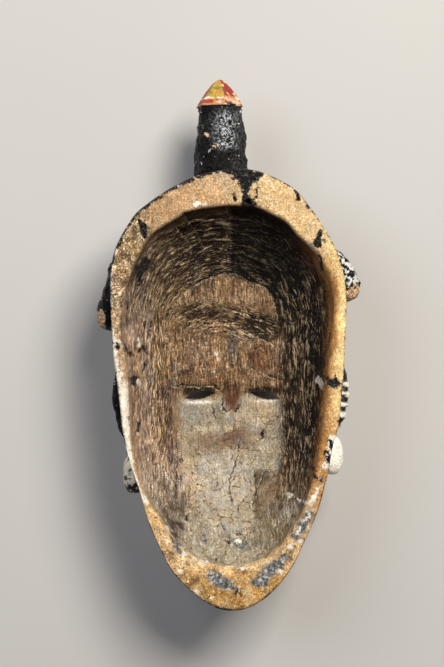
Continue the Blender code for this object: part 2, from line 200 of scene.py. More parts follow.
def makePiece(name, points, faces, material, attributes=None, sharp=None):
    # an object at the origin with its place in its mesh; edges turned by more than sharp degrees stay sharp
    mesh = bpy.data.meshes.new(name)
    mesh.from_pydata(points.tolist(), [], faces)
    writeAttributes(mesh, attributes or {})
    mesh.validate()
    mesh.update()
    mesh.shade_smooth()
    if sharp:
        mesh.set_sharp_from_angle(angle=math.radians(sharp))
    piece = bpy.data.objects.new(name, mesh)
    bpy.context.collection.objects.link(piece)
    piece.data.materials.append(material)
    return piece


def faceOutwards(piece):
    bpy.context.view_layer.objects.active = piece
    bpy.ops.object.mode_set(mode="EDIT")
    bpy.ops.mesh.select_all(action="SELECT")
    bpy.ops.mesh.normals_make_consistent(inside=False)
    bpy.ops.object.mode_set(mode="OBJECT")


def fill(tree, target, inputs):
    # sets a node's inputs to numbers or links them to outputs, in order or by name
    for socket, value in (inputs.items() if isinstance(inputs, dict) else enumerate(inputs)):
        if isinstance(value, bpy.types.NodeSocket):
            tree.links.new(value, target.inputs[socket])
        else:
            target.inputs[socket].default_value = value


def node(tree, kind, inputs=(), output=0, **settings):
    # adds a node with its settings and inputs, and gives one of its outputs
    made = tree.nodes.new("ShaderNode" + kind)
    for label, value in settings.items():
        setattr(made, label, value)
    fill(tree, made, inputs)
    return made.outputs[output]


def newMaterial(name):
    made = bpy.data.materials.new(name)
    made.use_nodes = True
    tree = made.node_tree
    return made, tree, tree.nodes["Principled BSDF"], node(tree, "TexCoord", output=3)


eased = {"interpolation_type": "SMOOTHSTEP"}  # for Map Range
asColour = {"output": 2, "data_type": "RGBA"}  # for Mix
multiplied = {"blend_type": "MULTIPLY", **asColour}
times, timesPlus = {"operation": "MULTIPLY"}, {"operation": "MULTIPLY_ADD"}  # for Math: a * b, a * b + c
minus, plus = {"operation": "SUBTRACT"}, {"operation": "ADD"}
toPower, unsigned = {"operation": "POWER"}, {"operation": "ABSOLUTE"}

# Old carved wood: adzed and gouged hardwood, dry and matt, with grain along the mask, handling dirt on the rim and
# cracks with pale lips that are painted highlights; painted highlights on the tool strokes' crests and painted shade
# between them; paint lies over it where the piece's attribute says
woodLook = {
    "roughness": 0.76, "blackRoughness": 0.36, "specular": 0.22, "black": "#0e0c0b", "blackWorn": "#63656a",
    "white": "#f7f2e6", "whiteDirty": "#dbd0ba", "whiteThin": "#bfae8e", "whitePit": "#6b5842",
    "slate": "#2c3138", "bloom": "#6f777d", "silver": "#c6c9c6", "scrapedHighlight": "#e3c7a0", "creviceShade": "#0d0805",
    "lip": "#e2d0a6", "crack": "#150d07", "hair": "#33261a", "pit": "#20150c", "braid": "#4a453f",
}
# Its noises: scale (1000 / size in mm), detail and roughness
woodNoises = {
    "broad": (55.0, 3.0, 0.6),  # 18 mm stains
    "hues": (85.0, 4.0, 0.65),  # 12 mm changes of hue
    "broken": (95.0, 4.0, 0.7),  # 11 mm stretches of a crack
    "torn": (170.0, 6.0, 0.75),  # 6 mm, for the torn edges of paint and cracks
    "mottle": (190.0, 6.0, 0.7),  # 5 mm blotches
    "wobble": (240.0, 5.0, 0.7),  # 4 mm, for the waver of cracks
    "fleck": (560.0, 4.0, 0.7),  # 1.8 mm pores, as fine as shows
}
# Its masks: a noise, the low and high value that it eases between, and what the mask is at each
woodMasks = {
    "stains": ("broad", 0.3, 0.7, -0.2, 0.2), "dirt": ("mottle", 0.34, 0.66, -0.55, 0.42),
    "crumbs": ("fleck", 0.34, 0.66, -0.60, 0.36), "warm": ("hues", 0.38, 0.62, 0.0, 1.0),
    "pores": ("fleck", 0.385, 0.33, 0.0, 1.0), "porous": ("mottle", 0.60, 0.44, 0.0, 1.0),
    "sparse": ("hues", 0.40, 0.60, 0.028, -0.040), "grainy": ("fleck", 0.34, 0.56, 0.35, 1.0),
    "wide": ("broken", 0.42, 0.62, 0.05, 1.3), "crazed": ("hues", 0.44, 0.60, 0.1, 1.0),
    "dots": ("speckA", 0.60, 0.65, 0.0, 1.0), "chips": ("speckB", 0.62, 0.67, 0.0, 0.9),
    "bloom": ("speckB", 0.40, 0.60, 0.0, 1.0), "silver": ("mottle", 0.50, 0.64, 0.0, 0.9),
    "rubbed": ("fleck", 0.54, 0.66, 0.0, 0.85), "clean": ("mottle", 0.34, 0.62, 0.0, 1.0),
    "thin": ("hues", 0.48, 0.64, 0.0, 0.5),
}


def carvedWood():
    made, tree, shader, place = newMaterial("old carved hardwood")
    painted = {}
    for name in ("tone", "paint", "work", "marks"):
        outputs = node(tree, "Attribute", attribute_name=name).node.outputs
        parts = node(tree, "SeparateColor", [outputs["Color"]]).node.outputs
        painted[name] = [outputs["Color"], parts[0], parts[1], parts[2], outputs["Alpha"]]
    tone, grit = painted["tone"][0], painted["tone"][4]
    blackMm, whiteMm, greyMm, spatter = painted["paint"][1:]
    crest, strength, strokeShading, crackle = painted["work"][1:]
    distanceA, shownA, distanceB, shownB = painted["marks"][1:]
    stroke = node(tree, "Attribute", output=1, attribute_name="stroke")

    noise = {name: node(tree, "TexNoise", {"Vector": place, "Scale": scale, "Detail": detail, "Roughness": rough})
             for name, (scale, detail, rough) in woodNoises.items()}
    for name, w, scale in (("speckA", 1.0, 430.0), ("speckB", 7.0, 330.0)):  # 2.3 mm and 3 mm specks
        noise[name] = node(tree, "TexNoise", {"Vector": place, "W": w, "Scale": scale, "Detail": 3.0,
                                              "Roughness": 0.7}, noise_dimensions="4D")
    mask = {name: node(tree, "MapRange", [noise[source], *ends], **eased)
            for name, (source, *ends) in woodMasks.items()}
    streak = node(tree, "TexNoise", {"Vector": stroke, "Scale": 1.0, "Detail": 6.0, "Roughness": 0.66})
    fibres = node(tree, "TexNoise", {"Vector": stroke, "Scale": 2.7, "Detail": 3.0, "Roughness": 0.7})
    both = node(tree, "Math", [fibres, 0.55, node(tree, "Math", [streak, 0.45], **times)], **timesPlus)

    # light and dark as a power of e: stains, dirt and pores by the grit, tool strokes by their strength
    strokes = node(tree, "MapRange", [both, 0.40, 0.60, -0.5, 0.5], **eased)
    strokes = node(tree, "Math", [strokes, strength], **times)
    change = node(tree, "Math", [mask["dirt"], 0.85, mask["stains"]], **timesPlus)
    change = node(tree, "Math", [mask["crumbs"], 1.1, change], **timesPlus)
    change = node(tree, "Math", [strokes, 3.8, node(tree, "Math", [change, grit], **times)], **timesPlus)
    factor = node(tree, "Math", [2.718, change], **toPower)
    shades = node(tree, "CombineColor", [node(tree, "Math", [factor, 0.94], **toPower), factor,
                                         node(tree, "Math", [factor, 1.12], **toPower)])
    wood = node(tree, "Mix", {0: 1.0, 6: tone, 7: shades}, **multiplied)
    warmth = node(tree, "Mix", {0: mask["warm"], 6: (0.95, 0.985, 1.06, 1), 7: (1.07, 1.0, 0.88, 1)}, **asColour)
    wood = node(tree, "Mix", {0: 0.9, 6: wood, 7: warmth}, **multiplied)
    pits = node(tree, "Math", [mask["pores"], mask["porous"]], **times)
    pits = node(tree, "Math", [pits, grit], use_clamp=True, **times)

    # tool strokes: a painted highlight as thin pale strokes on the walls, on their crests and where scraped, and
    # painted shade as dark lines between them
    high = node(tree, "Math", [crest, 0.10, both], **timesPlus)
    deep = node(tree, "MapRange", [high, 0.465, 0.41, 0.0, 0.9], **eased)
    deep = node(tree, "Math", [deep, strokeShading], **times)
    pale = node(tree, "Math", [high, mask["sparse"]], **minus)
    pale = node(tree, "MapRange", [pale, 0.560, 0.610, 0.0, 0.85], **eased)
    for part in (strokeShading, mask["grainy"]):
        pale = node(tree, "Math", [pale, part], **times)
    for cover, layer in ((pits, "pit"), (deep, "creviceShade"), (pale, "scrapedHighlight")):
        wood = node(tree, "Mix", {0: cover, 6: wood, 7: rgba(woodLook[layer])}, **asColour)

    # cracks: dark along the line with broken, uneven edges, and a painted highlight on the right-hand lip
    torn = node(tree, "Math", [noise["torn"], 15.0, -7.5], **timesPlus)
    torn = node(tree, "Math", [noise["fleck"], 6.0, node(tree, "Math", [torn, 3.0], **minus)], **timesPlus)
    ragged = node(tree, "MapRange", [torn, -1.5, 1.5, 0.0, 1.0], **eased)
    lines = 0.0
    for distance, shown, narrow, lipped in ((distanceA, shownA, 0.0, 0.85), (distanceB, shownB, 0.28, 0.42)):
        away = node(tree, "Math", [noise["wobble"], 9.0, node(tree, "Math", [distance, 4.5], **minus)], **timesPlus)
        line = node(tree, "Math", [mask["wide"], node(tree, "Math", [away], **unsigned)], **minus)
        line = node(tree, "MapRange", [line, narrow - 0.3, narrow + 0.4, 0.0, 0.92 - narrow / 2], **eased)
        line = node(tree, "Math", [line, shown], **times)
        lip = node(tree, "Math", [node(tree, "Math", [away, 1.6], **minus)], **unsigned)
        lip = node(tree, "MapRange", [lip, 0.8, 0.2, 0.0, lipped], **eased)
        for part in (shown, ragged):
            lip = node(tree, "Math", [lip, part], **times)
        for cover, layer in ((lip, "lip"), (line, "crack")):
            wood = node(tree, "Mix", {0: cover, 6: wood, 7: rgba(woodLook[layer])}, **asColour)
        lines = node(tree, "Math", [line, lines], operation="MAXIMUM")

    # hair cracks: the edges of cells 9 mm wide, bent by noise
    bend = node(tree, "TexNoise", {"Vector": place, "Scale": 90.0, "Detail": 3.0}, 1)
    bent = node(tree, "VectorMath", [bend, (0.014, 0.014, 0.014), place], **timesPlus)
    cells = node(tree, "TexVoronoi", {"Vector": bent, "Scale": 105.0}, feature="DISTANCE_TO_EDGE")
    hair = node(tree, "MapRange", [cells, 0.07, 0.01, 0.0, 1.0], **eased)
    for part in (crackle, node(tree, "MapRange", [torn, -1.5, 1.0, 0.0, 1.0], **eased), mask["crazed"]):
        hair = node(tree, "Math", [hair, part], **times)

    # paint: its edge is the attribute's zero line in millimetres, torn by noise and broken into flakes
    black = node(tree, "MapRange", [node(tree, "Math", [blackMm, torn], **plus), -0.2, 0.5, 0.0, 1.0], **eased)
    flaked = node(tree, "Math", [blackMm, -0.012, noise["mottle"]], **timesPlus)
    black = node(tree, "Math", [black, node(tree, "MapRange", [flaked, 0.60, 0.56, 0.1, 1.0], **eased)], **times)
    white = node(tree, "MapRange", [node(tree, "Math", [whiteMm, torn], **minus), -0.3, 0.5, 0.0, 0.95], **eased)
    grey = node(tree, "Math", [torn, 1.5, greyMm], **timesPlus)
    grey = node(tree, "MapRange", [grey, -1.5, 2.5, 0.0, 0.92], **eased)
    dots, chips = (node(tree, "Math", [mask[name], spatter], **times) for name in ("dots", "chips"))

    # each coat as its first colour and what lies on that, then all of them over the wood
    braided = node(tree, "Math", [crest, 0.7], **times)
    coats = {}
    for first, *layers in (("slate", (mask["bloom"], "bloom"), (mask["silver"], "silver")),
                           ("black", (mask["rubbed"], "blackWorn"), (braided, "braid")),
                           ("whiteDirty", (mask["clean"], "white"), (mask["thin"], "whiteThin"), (pits, "whitePit"))):
        coats[first] = rgba(woodLook[first])
        for cover, layer in layers:
            coats[first] = node(tree, "Mix", {0: cover, 6: coats[first], 7: rgba(woodLook[layer])}, **asColour)
    colour = wood
    for cover, coat in ((hair, rgba(woodLook["hair"])), (grey, coats["slate"]), (white, coats["whiteDirty"]),
                        (dots, rgba(woodLook["black"])), (black, coats["black"]), (chips, rgba(woodLook["white"]))):
        colour = node(tree, "Mix", {0: cover, 6: colour, 7: coat}, **asColour)
    rough = node(tree, "Math", [mask["dirt"], 0.15, woodLook["roughness"]], **timesPlus)
    rough = node(tree, "Mix", {0: black, 2: rough, 3: woodLook["blackRoughness"]})

    # relief in millimetres
    gritty = node(tree, "Math", [mask["crumbs"], 0.5, node(tree, "Math", [mask["dirt"], 0.6], **times)], **timesPlus)
    lumpy = node(tree, "Math", [noise["mottle"], 2.0, -0.5], **timesPlus)
    relief = 0.0
    for part, height in ((strokes, 0.9), (gritty, grit), (lines, -0.9), (hair, -0.4), (black, lumpy), (white, 0.3)):
        relief = node(tree, "Math", [part, height, relief], **timesPlus)
    bump = node(tree, "Bump", {"Height": relief, "Distance": 0.001, "Strength": 1.0})
    fill(tree, shader, {"Base Color": colour, "Roughness": rough, "Specular IOR Level": woodLook["specular"],
                        "Normal": bump})
    return made


# Black crust: many coats of soot-black paint, brushed on thick, lumpy and glossy where handled, rubbed grey on its
# high spots and chipped to the wood; the attribute that it reads holds how bare (x) and how rubbed (y) it is, and on
# the post the rubbed grey is also a painted highlight
crustLook = {
    "roughness": 0.32, "specular": 0.14, "black": "#040303", "grey": "#16181b", "rubbed": "#aeb4b9",
    "white": "#d4d5d0", "woodDark": "#946a4b", "woodPale": "#e3c6a4", "bareRoughness": 0.7,
    "noises": ((170.0, 5.0, 0.6), (400.0, 4.0, 0.65), (900.0, 2.0, 0.5)),  # lumps of 6, 2.5 and 1.1 mm
}


def blackCrust(name, whites=0.0):
    made, tree, shader, place = newMaterial(name)
    coarse, middle, fine = (
        node(tree, "TexNoise", {"Vector": place, "Scale": scale, "Detail": detail, "Roughness": rough})
        for scale, detail, rough in crustLook["noises"])
    wear = node(tree, "SeparateXYZ", [node(tree, "Attribute", output=1, attribute_name="wornAndSheen")]).node.outputs
    greyed = node(tree, "MapRange", [middle, 0.54, 0.72, 0.0, 1.0], **eased)
    grains = node(tree, "Math", [middle, 0.6, node(tree, "Math", [fine, 0.4], **times)], **timesPlus)
    rubbed = node(tree, "MapRange", [grains, 0.47, 0.58, 0.0, 1.0], **eased)
    rubbed = node(tree, "Math", [rubbed, wear[1]], **times)
    spots = node(tree, "Math", [coarse, 0.8, node(tree, "Math", [grains, 0.2], **times)], **timesPlus)
    spots = node(tree, "MapRange", [spots, 0.63 - whites, 0.66 - whites, 0.0, 1.0], **eased)
    bare = node(tree, "Math", [coarse, 2.2, node(tree, "Math", [wear[0], 1.1], **minus)], **timesPlus)
    bare = node(tree, "MapRange", [bare, 0.42, 0.56, 0.0, 1.0], **eased)
    chip = node(tree, "Mix", {0: node(tree, "MapRange", [middle, 0.38, 0.62, 0.0, 1.0], **eased),
                              6: rgba(crustLook["woodDark"]), 7: rgba(crustLook["woodPale"])}, **asColour)
    colour = rgba(crustLook["black"])
    for cover, layer in ((greyed, rgba(crustLook["grey"])), (rubbed, rgba(crustLook["rubbed"])),
                         (spots, rgba(crustLook["white"])), (bare, chip)):
        colour = node(tree, "Mix", {0: cover, 6: colour, 7: layer}, **asColour)
    rough = node(tree, "Math", [middle, 0.5, crustLook["roughness"] - 0.2], **timesPlus)
    rough = node(tree, "Mix", {0: bare, 2: rough, 3: crustLook["bareRoughness"]})
    relief = node(tree, "Math", [middle, 1.4, node(tree, "Math", [fine, 0.3], **times)], **timesPlus)
    relief = node(tree, "Math", [coarse, 1.6, relief], **timesPlus)
    bump = node(tree, "Bump", {"Height": relief, "Distance": 0.001, "Strength": 1.0})
    fill(tree, shader, {"Base Color": colour, "Roughness": rough, "Specular IOR Level": crustLook["specular"],
                        "Normal": bump})
    return made


# Painted wood with its colours in the mesh's own attribute: brushed earth paints, satin, worn and dirty
paintLook = {"soil": "#4d3c29", "noises": ((200.0, 5.0, 0.65), (700.0, 3.0, 0.6))}  # of 5 mm and 1.4 mm


def brushedPaint(name, roughness, dirty):
    made, tree, shader, place = newMaterial(name)
    tone = node(tree, "Attribute", attribute_name="tone")
    coarse, fine = (
        node(tree, "TexNoise", {"Vector": place, "Scale": scale, "Detail": detail, "Roughness": rough})
        for scale, detail, rough in paintLook["noises"])
    soil = node(tree, "MapRange", [coarse, 0.50, 0.68, 0.0, dirty], **eased)
    colour = node(tree, "Mix", {0: soil, 6: tone, 7: rgba(paintLook["soil"])}, **asColour)
    value = node(tree, "MapRange", [fine, 0.3, 0.7, 0.65, 1.3], **eased)
    shades = node(tree, "CombineColor", [value, value, value])
    colour = node(tree, "Mix", {0: 1.0, 6: colour, 7: shades}, **multiplied)
    rough = node(tree, "Math", [coarse, 0.3, roughness - 0.15], **timesPlus)
    relief = node(tree, "Math", [coarse, 0.9, node(tree, "Math", [fine, 0.4], **times)], **timesPlus)
    bump = node(tree, "Bump", {"Height": relief, "Distance": 0.001, "Strength": 0.8})
    fill(tree, shader, {"Base Color": colour, "Roughness": rough, "Normal": bump})
    return made


# Shell outlines, clockwise from the crown as seen in the photograph
outlines = {
    "outer": [
        (240, 168), (251, 169.5), (262, 172), (280, 180), (296, 190), (308, 204), (320, 221), (331, 239),
        (339, 257), (344, 275), (346.5, 295), (346.5, 315), (345.5, 335), (345, 355), (344, 372), (342.5, 390),
        (341, 405), (339.5, 420), (337, 433), (333, 447), (330.5, 460), (328, 475), (324.5, 488), (321, 502),
        (317, 514), (312, 526), (306.5, 538), (301, 550), (295.5, 562), (288, 574), (278.5, 586), (266, 598),
        (249, 608), (233, 611), (217, 608.5), (199, 598), (185, 586), (174, 574), (167, 563), (161, 551),
        (155, 538), (150, 526), (146, 514), (142.5, 502), (139, 490), (134.5, 478), (130, 465), (126.5, 452),
        (124, 440), (121, 420), (119, 400), (117, 385), (115, 370), (112.5, 350), (111.5, 330), (110.5, 310),
        (110, 290), (110.5, 270), (114, 252), (120, 238), (127.5, 225), (136, 213), (148, 203), (163, 192.5),
        (178, 184), (195, 176), (218, 170),
    ],
    "mouth": [
        (242, 206), (256, 207), (273, 215), (287, 223), (298, 236), (312, 249), (323, 266), (331, 286),
        (333, 306), (331, 328), (329, 350), (327, 375), (325, 400), (322, 425), (319, 450), (314, 474),
        (307, 497), (299, 516), (291, 530), (282, 543), (268, 556), (251, 564), (235, 567), (218, 566),
        (200, 561), (184, 550), (171, 535), (160, 517), (147, 497), (138, 473), (133, 448), (130, 420),
        (129, 396), (127, 368), (124, 342), (122, 320), (124, 297), (131, 272), (140, 253), (147, 240),
        (156, 231), (171, 222), (189, 212), (208, 208), (226, 206),
    ],
    "floor": [
        (236, 274), (248, 279), (266, 286), (277, 303), (280, 323), (285, 345), (289, 384), (288, 420),
        (286, 452), (280, 478), (271, 500), (260, 517), (247, 528), (231, 532), (215, 529), (201, 519),
        (190, 501), (182, 476), (176, 450), (173, 425), (171, 395), (167, 360), (164, 335), (168, 311),
        (180, 295), (194, 284), (205, 278), (222, 272),
    ],
}

# Hollow: where the rim, wall and floor lie between the edge (0) and the middle (1), and their depths
hollow = {
    "rimShare": 0.14, "floorShare": 0.62, "floorEdge": 0.086, "floorDeepest": 0.098, "floorRise": 0.042,
    "floorMiddleX": 0.003, "floorMiddleY": -0.057, "floorReach": 0.127, "wallCurve": 1.6,
    "wallMm": 105, "wallRadiusMm": 150, "girthMm": 900,
}
# Zones that fade in from the first pixel to the second: the crown (y), the floor above the slits' lids (y), the
# left half (x), and the left half's outer wall (x)
zones = {"crown": (345, 285), "upper": (402, 385), "left": (230, 200), "outerWall": (156, 146)}
# The length and width of a tool stroke: in mm round the crown's wall, and in pixels elsewhere
strokeSizes = {"crown": (17, 1.6), "upright": (25, 1.7), "rim": (5, 2.4), "brows": (11, 2.0), "slope": 24}
# The face side's values of what is painted in the hollow; strokes run along Y there (mm)
faceSide = {"grit": 0.9, "spatter": 0.25, "strength": 0.25, "crackle": 0.7, "stroke": (3.0, 25.0, 3.0)}
# Paint fields hold how far inside paint a point is, and marks how far from a crack; these mean nowhere near
unpainted, unmarked = -12, 9


def gridShares():
    # a square grid bent onto a disc: how far from its edge each point is, and its share of the way round
    across, along = body["cellsAcross"], body["cellsAlong"]
    u, v = np.meshgrid(np.linspace(-1, 1, across + 1), np.linspace(-1, 1, along + 1), indexing="ij")
    r = np.maximum(np.abs(u), np.abs(v))
    safe = np.maximum(r, 1e-9)
    top = u / safe * across / 2
    right = across / 2 + (1 - v / safe) / 2 * along
    bottom = across / 2 + along + (1 - u / safe) / 2 * across
    left = across * 1.5 + along + (1 + v / safe) / 2 * along
    cells = np.where(v >= r - 1e-9, top, np.where(u >= r - 1e-9, right, np.where(v <= -r + 1e-9, bottom, left)))
    return r, np.mod(cells / (2 * (across + along)), 1)


def floorForward(y):
    # how much shallower the hollow is towards the chin: the rise times the square of the way down
    below = np.clip((hollow["floorMiddleY"] - y) / hollow["floorReach"], 0, 1)
    return hollow["floorRise"] * below**2


def halfEgg(y):
    # the two powers and the reach of the rim egg, of its crown or of its chin
    isCrown = y > body["widestY"]
    p, q = (np.where(isCrown, crown, chin) for crown, chin in zip(body["crownPowers"], body["chinPowers"]))
    return p, q, np.where(isCrown, body["crownReach"], body["chinReach"])


def eggShare(x, y):
    # how large a scaled rim egg passes through a point, by halving
    low, high = np.zeros(x.shape), np.full(x.shape, 1.6)
    p, q, reach = halfEgg(y)
    for _ in range(44):
        middle = (low + high) / 2
        a = np.abs(x) / (body["halfWidth"] * middle)
        b = np.abs(y - body["widestY"]) / (reach * middle)
        outside = a**p + b**q > 1
        low, high = np.where(outside, middle, low), np.where(outside, high, middle)
    return high


def faceForward(egg):
    # how far forward the face lies: the bevel, and then sqrt(1 - egg^power) of the face's depth
    return body["bevel"] + (body["faceDepth"] - body["bevel"]) * np.sqrt(np.clip(1 - egg ** body["sidePower"], 0, 1))


outerCurve = closedCurve(toPlan(*np.array(outlines["outer"]).T))
mouthCurve = closedCurve(toPlan(*np.array(outlines["mouth"]).T, 0.004))
floorPixels = np.array(outlines["floor"]).T
floorGuess = toPlan(*floorPixels, hollow["floorEdge"])
floorCurve = closedCurve(np.stack([toPlan(px, py, hollow["floorEdge"] - floorForward(guess[1]))
                                   for px, py, guess in zip(*floorPixels, floorGuess)]))


def normals(points):
    # unit normals of a grid: the cross product of its two tangents
    crossed = np.cross(np.gradient(points, axis=0), np.gradient(points, axis=1))
    return crossed / np.maximum(np.linalg.norm(crossed, axis=-1, keepdims=True), 1e-12)


def rounded(away, radius):
    # how deep a round edge of some radius lies at a distance from it: radius * (1 - sqrt(1 - t^2))
    return radius * (1 - np.sqrt(np.clip(1 - (1 - np.clip(away / radius, 0, 1)) ** 2, 0, 1)))


def innerSurface(r, share):
    # rim: flat from the outline to the mouth, rounded over at both edges; wall: a mix of the mouth and the
    # floor's edge by a power of the depth; floor: the floor's edge drawn in to its middle and dished
    path = 1 - r
    outer, mouth, floorEdge = (onCurve(curve, share) for curve in (outerCurve, mouthCurve, floorCurve))
    px, py = toPhoto(np.dstack([mouth, np.full(share.shape, body["depth"])]))
    rounding = 0.0035 + 0.0065 * patch(px, py, 335, 360, 40, 120) + 0.009 * smooth(py, 480, 560)
    rounding += 0.0045 * patch(px, py, 125, 370, 30, 90)
    band = np.linalg.norm(outer - mouth, axis=-1)

    q = np.clip(path / hollow["rimShare"], 0, 1)
    rimForward = rounded(q * band, body["bevel"]) + rounded((1 - q) * band, rounding)
    rimPlan = outer + (mouth - outer) * q[..., None]

    s = np.clip((path - hollow["rimShare"]) / (hollow["floorShare"] - hollow["rimShare"]), 0, 1)
    wallPlan = mouth + (floorEdge - mouth) * (s ** hollow["wallCurve"])[..., None]
    wallForward = rounding + (hollow["floorEdge"] - rounding) * s - floorForward(wallPlan[..., 1]) * s

    f = np.clip((1 - path) / (1 - hollow["floorShare"]), 0, 1)
    middle = np.array([hollow["floorMiddleX"], hollow["floorMiddleY"]])
    floorPlan = middle + (floorEdge - middle) * f[..., None]
    dish = hollow["floorDeepest"] - hollow["floorEdge"]
    floorDepth = hollow["floorDeepest"] - dish * f**2 - floorForward(floorPlan[..., 1])

    onRim, onFloor = path < hollow["rimShare"], path >= hollow["floorShare"]
    plan = np.where(onRim[..., None], rimPlan, np.where(onFloor[..., None], floorPlan, wallPlan))
    forward = np.where(onRim, rimForward, np.where(onFloor, floorDepth, wallForward))
    points = np.dstack([plan, body["depth"] - forward])
    return points, q, s, f


# Lines in the hollow. Grooves, cut into the mesh: depth in mm, half width in pixels, and points in pixels
grooves = [
    (2.2, 3.4, [(174, 318), (184, 311), (196, 306), (206, 303)]),
    (2.8, 3.2, [(183, 328), (191, 323), (199, 321.5), (207, 323), (214, 320), (225, 321.5), (237, 319)]),
    (2.6, 3.6, [(231, 309), (243, 312), (252, 317), (262, 319), (276, 325)]),
    (2.4, 3.0, [(237, 327), (249, 332), (261, 336), (274, 343)]),
    (2.0, 5.0, [(205, 312), (206, 314)]),
    (2.0, 5.0, [(228, 313), (229, 315)]),
    (1.6, 2.4, [(172, 384), (184, 384.5), (199, 385), (213, 384.5), (221, 391)]),
    (1.2, 2.6, [(175, 425), (177, 470), (173, 505)]),
    (1.5, 3.0, [(262, 433), (263, 435)]),
    (2.2, 1.7, [(226, 388), (227, 406)]),
    (2.0, 4.5, [(232, 545), (243, 545)]),
    (1.2, 3.2, [(205, 538), (207, 542)]),
    (1.4, 3.0, [(186, 215), (196, 230), (205, 246)]),
    (1.4, 3.0, [(176, 224), (190, 242)]),
    (2.2, 5.5, [(262, 327), (278, 332)]),
]
# Wide cracks, and thin ones, coloured only
cracksA = [
    [(164, 330), (168, 311), (180, 295), (194, 284), (205, 278), (225, 272), (236, 273), (248, 279), (266, 286),
     (275, 300), (279, 320)],
    [(172, 385.5), (184, 385), (199, 386), (213, 384.5), (221, 391)],
    [(237, 328), (249, 333), (261, 337), (274, 344)],
    [(222, 398), (223, 408), (227, 412), (231, 409), (236, 411), (240, 404)],
    [(183, 329), (191, 323.5), (199, 322), (207, 324), (214, 321), (225, 322.5), (237, 320)],
    [(231, 309), (243, 312), (252, 317), (262, 319), (276, 325)],
    [(176, 318), (186, 311), (205, 303)],
    [(229, 545), (230, 534), (244, 535)],
]
cracksB = [
    [(246, 365), (262, 372), (284, 381)],
    [(282, 352), (286, 384), (285, 420), (287, 450)],
    [(186, 215), (196, 230), (205, 246)],
    [(176, 225), (190, 242)],
    [(229, 207), (229, 262)],
    [(175, 432), (178, 460), (175, 500)],
    [(181, 434), (182, 470), (180, 505)],
    [(255.5, 452), (255, 475), (257, 500)],
    [(266, 468), (260, 486), (253, 497), (253, 512)],
    [(212, 405), (215, 416), (217, 430)],
    [(240, 440), (236, 462), (229, 480), (232, 505)],
    [(219, 519), (226, 531), (233, 541)],
    [(227, 389), (226, 408)],
    [(205, 455), (214, 474), (219, 490)],
    [(163, 262), (150, 290), (144, 330)],
    [(249, 350), (262, 346), (270, 356)],
]


def lineField(px, py, lines, reach):
    # the signed distance to the nearest line, and 1 within reach of it
    best, shown = np.full(px.shape, float(unmarked)), np.zeros(px.shape)
    for line in lines:
        away, where = toLine(px, py, line)
        ends = np.minimum(smooth(where, 0, 0.06), smooth(where, 1, 0.94))
        nearer = np.abs(away) < np.abs(best)
        best = np.where(nearer, away, best)
        shown = np.where(nearer, smooth(np.abs(away), reach, reach * 0.7) * (0.35 + 0.65 * ends), shown)
    return best, shown


# Scoops of the adze and gouge: the length and width of one, in mm round and down the crown's wall (arcs), in
# pixels and mm on the other walls (slats), and in pixels down the floor (facets below the slits, small above)
scoops = {"arcs": (20, 5.0), "slats": (44, 6.5), "facets": (34, 8), "small": (15, 6.5)}
# Dents (below 0) and rises in the hollow: height in mm, and the ellipse in pixels (middle, radii, softness)
dents = [
    (-2.4, (259, 329, 20, 10)), (-1.5, (196, 313, 24, 7)),  # under the brows
    (-4.0, (200, 394, 19, 8.5)), (-3.2, (265, 395, 19, 7.5)), (-5.5, (231, 399, 8.5, 14, 0.4)),  # eyes and nose
    (1.5, (225, 296, 45, 16)), (1.2, (256, 362, 20, 20, 0.3)), (1.0, (196, 352, 20, 24, 0.3)),
    (-1.6, (284, 500, 20, 24, 0.3)),
]


def carveHollow(points, r, share, q, s, f):
    # the tool marks: scoops round the wall and down the floor, grooves, sockets behind the eyes and the nose
    px, py = toPhoto(points)
    facing = normals(points)
    onWall = smooth(s, 0.02, 0.10) * (s < 1)
    onFloor = (s >= 1) * 1.0
    crown = smooth(py, *zones["crown"])
    bowl = smooth(py, 470, 530)

    wander = lumps(points, 0.03, 5)
    fields = {}
    places = (("arcs", share * hollow["girthMm"], s * hollow["wallMm"], 1.2), ("slats", py, s * hollow["wallMm"], 0.5),
              ("facets", py, px, 0.4), ("small", py, px, 0.4))
    for seed, (name, along, across, wavering) in enumerate(places, 11):
        length, width = scoops[name]
        wrap = hollow["girthMm"] // length if name == "arcs" else 0
        fields[name] = gouges(along / length, across / width + wavering * wander, seed, wrap)
    arcs, slats, facets, small = fields.values()
    upper = onFloor * smooth(py, *zones["upper"])
    lower = np.maximum(onFloor, onWall * bowl) * smooth(py, 400, 430)
    arcWeight = onWall * crown * smooth(s, 0.04, 0.25)
    slatWeight = onWall * (1 - crown) * (1 - bowl) * smooth(s, 0.2, 0.6) * (0.45 + 0.75 * smooth(px, 240, 300))
    relief = 2.0 * arcWeight * (arcs - 0.35) + 1.6 * slatWeight * (slats - 0.35)
    relief += (1.3 * upper * (small - 0.3)) * smooth(f, 1, 0.93) + 0.45 * lower * (facets - 0.3)
    relief += 1.2 * lumps(points, 0.045, 3) * smooth(s, 0.1, 0.5)
    relief += 0.55 * lumps(points, 0.009, 4) * (0.5 + onWall)
    relief += 0.9 * lumps(points * [1, 0.3, 1], 0.007, 6) * onWall * (1 - crown) * (1 - 0.6 * bowl)
    relief += (0.30 * lumps(points, 0.012, 8) + 0.15 * lumps(points, 0.005, 9)) * (q < 1)
    for deep, wide, line in grooves:
        away, _ = toLine(px, py, line)
        relief -= deep * np.exp(-(away / wide) ** 2)
    for height, ellipse in dents:
        relief += height * patch(px, py, *ellipse)
    crest = np.clip(arcs - 0.42, 0, 1) * arcWeight * 2.2 + np.clip(slats - 0.45, 0, 1) * slatWeight * 1.6
    crest += np.clip(small - 0.5, 0, 1) * upper * 0.7
    limit = np.minimum(relief, np.where(s > 0, 2.5, 0.0))
    low = np.where(q < 1, np.minimum(limit - 0.2, 0), limit)
    return points + facing * (low / 1000)[..., None] * smooth(r, 1.0, 0.985)[..., None], crest


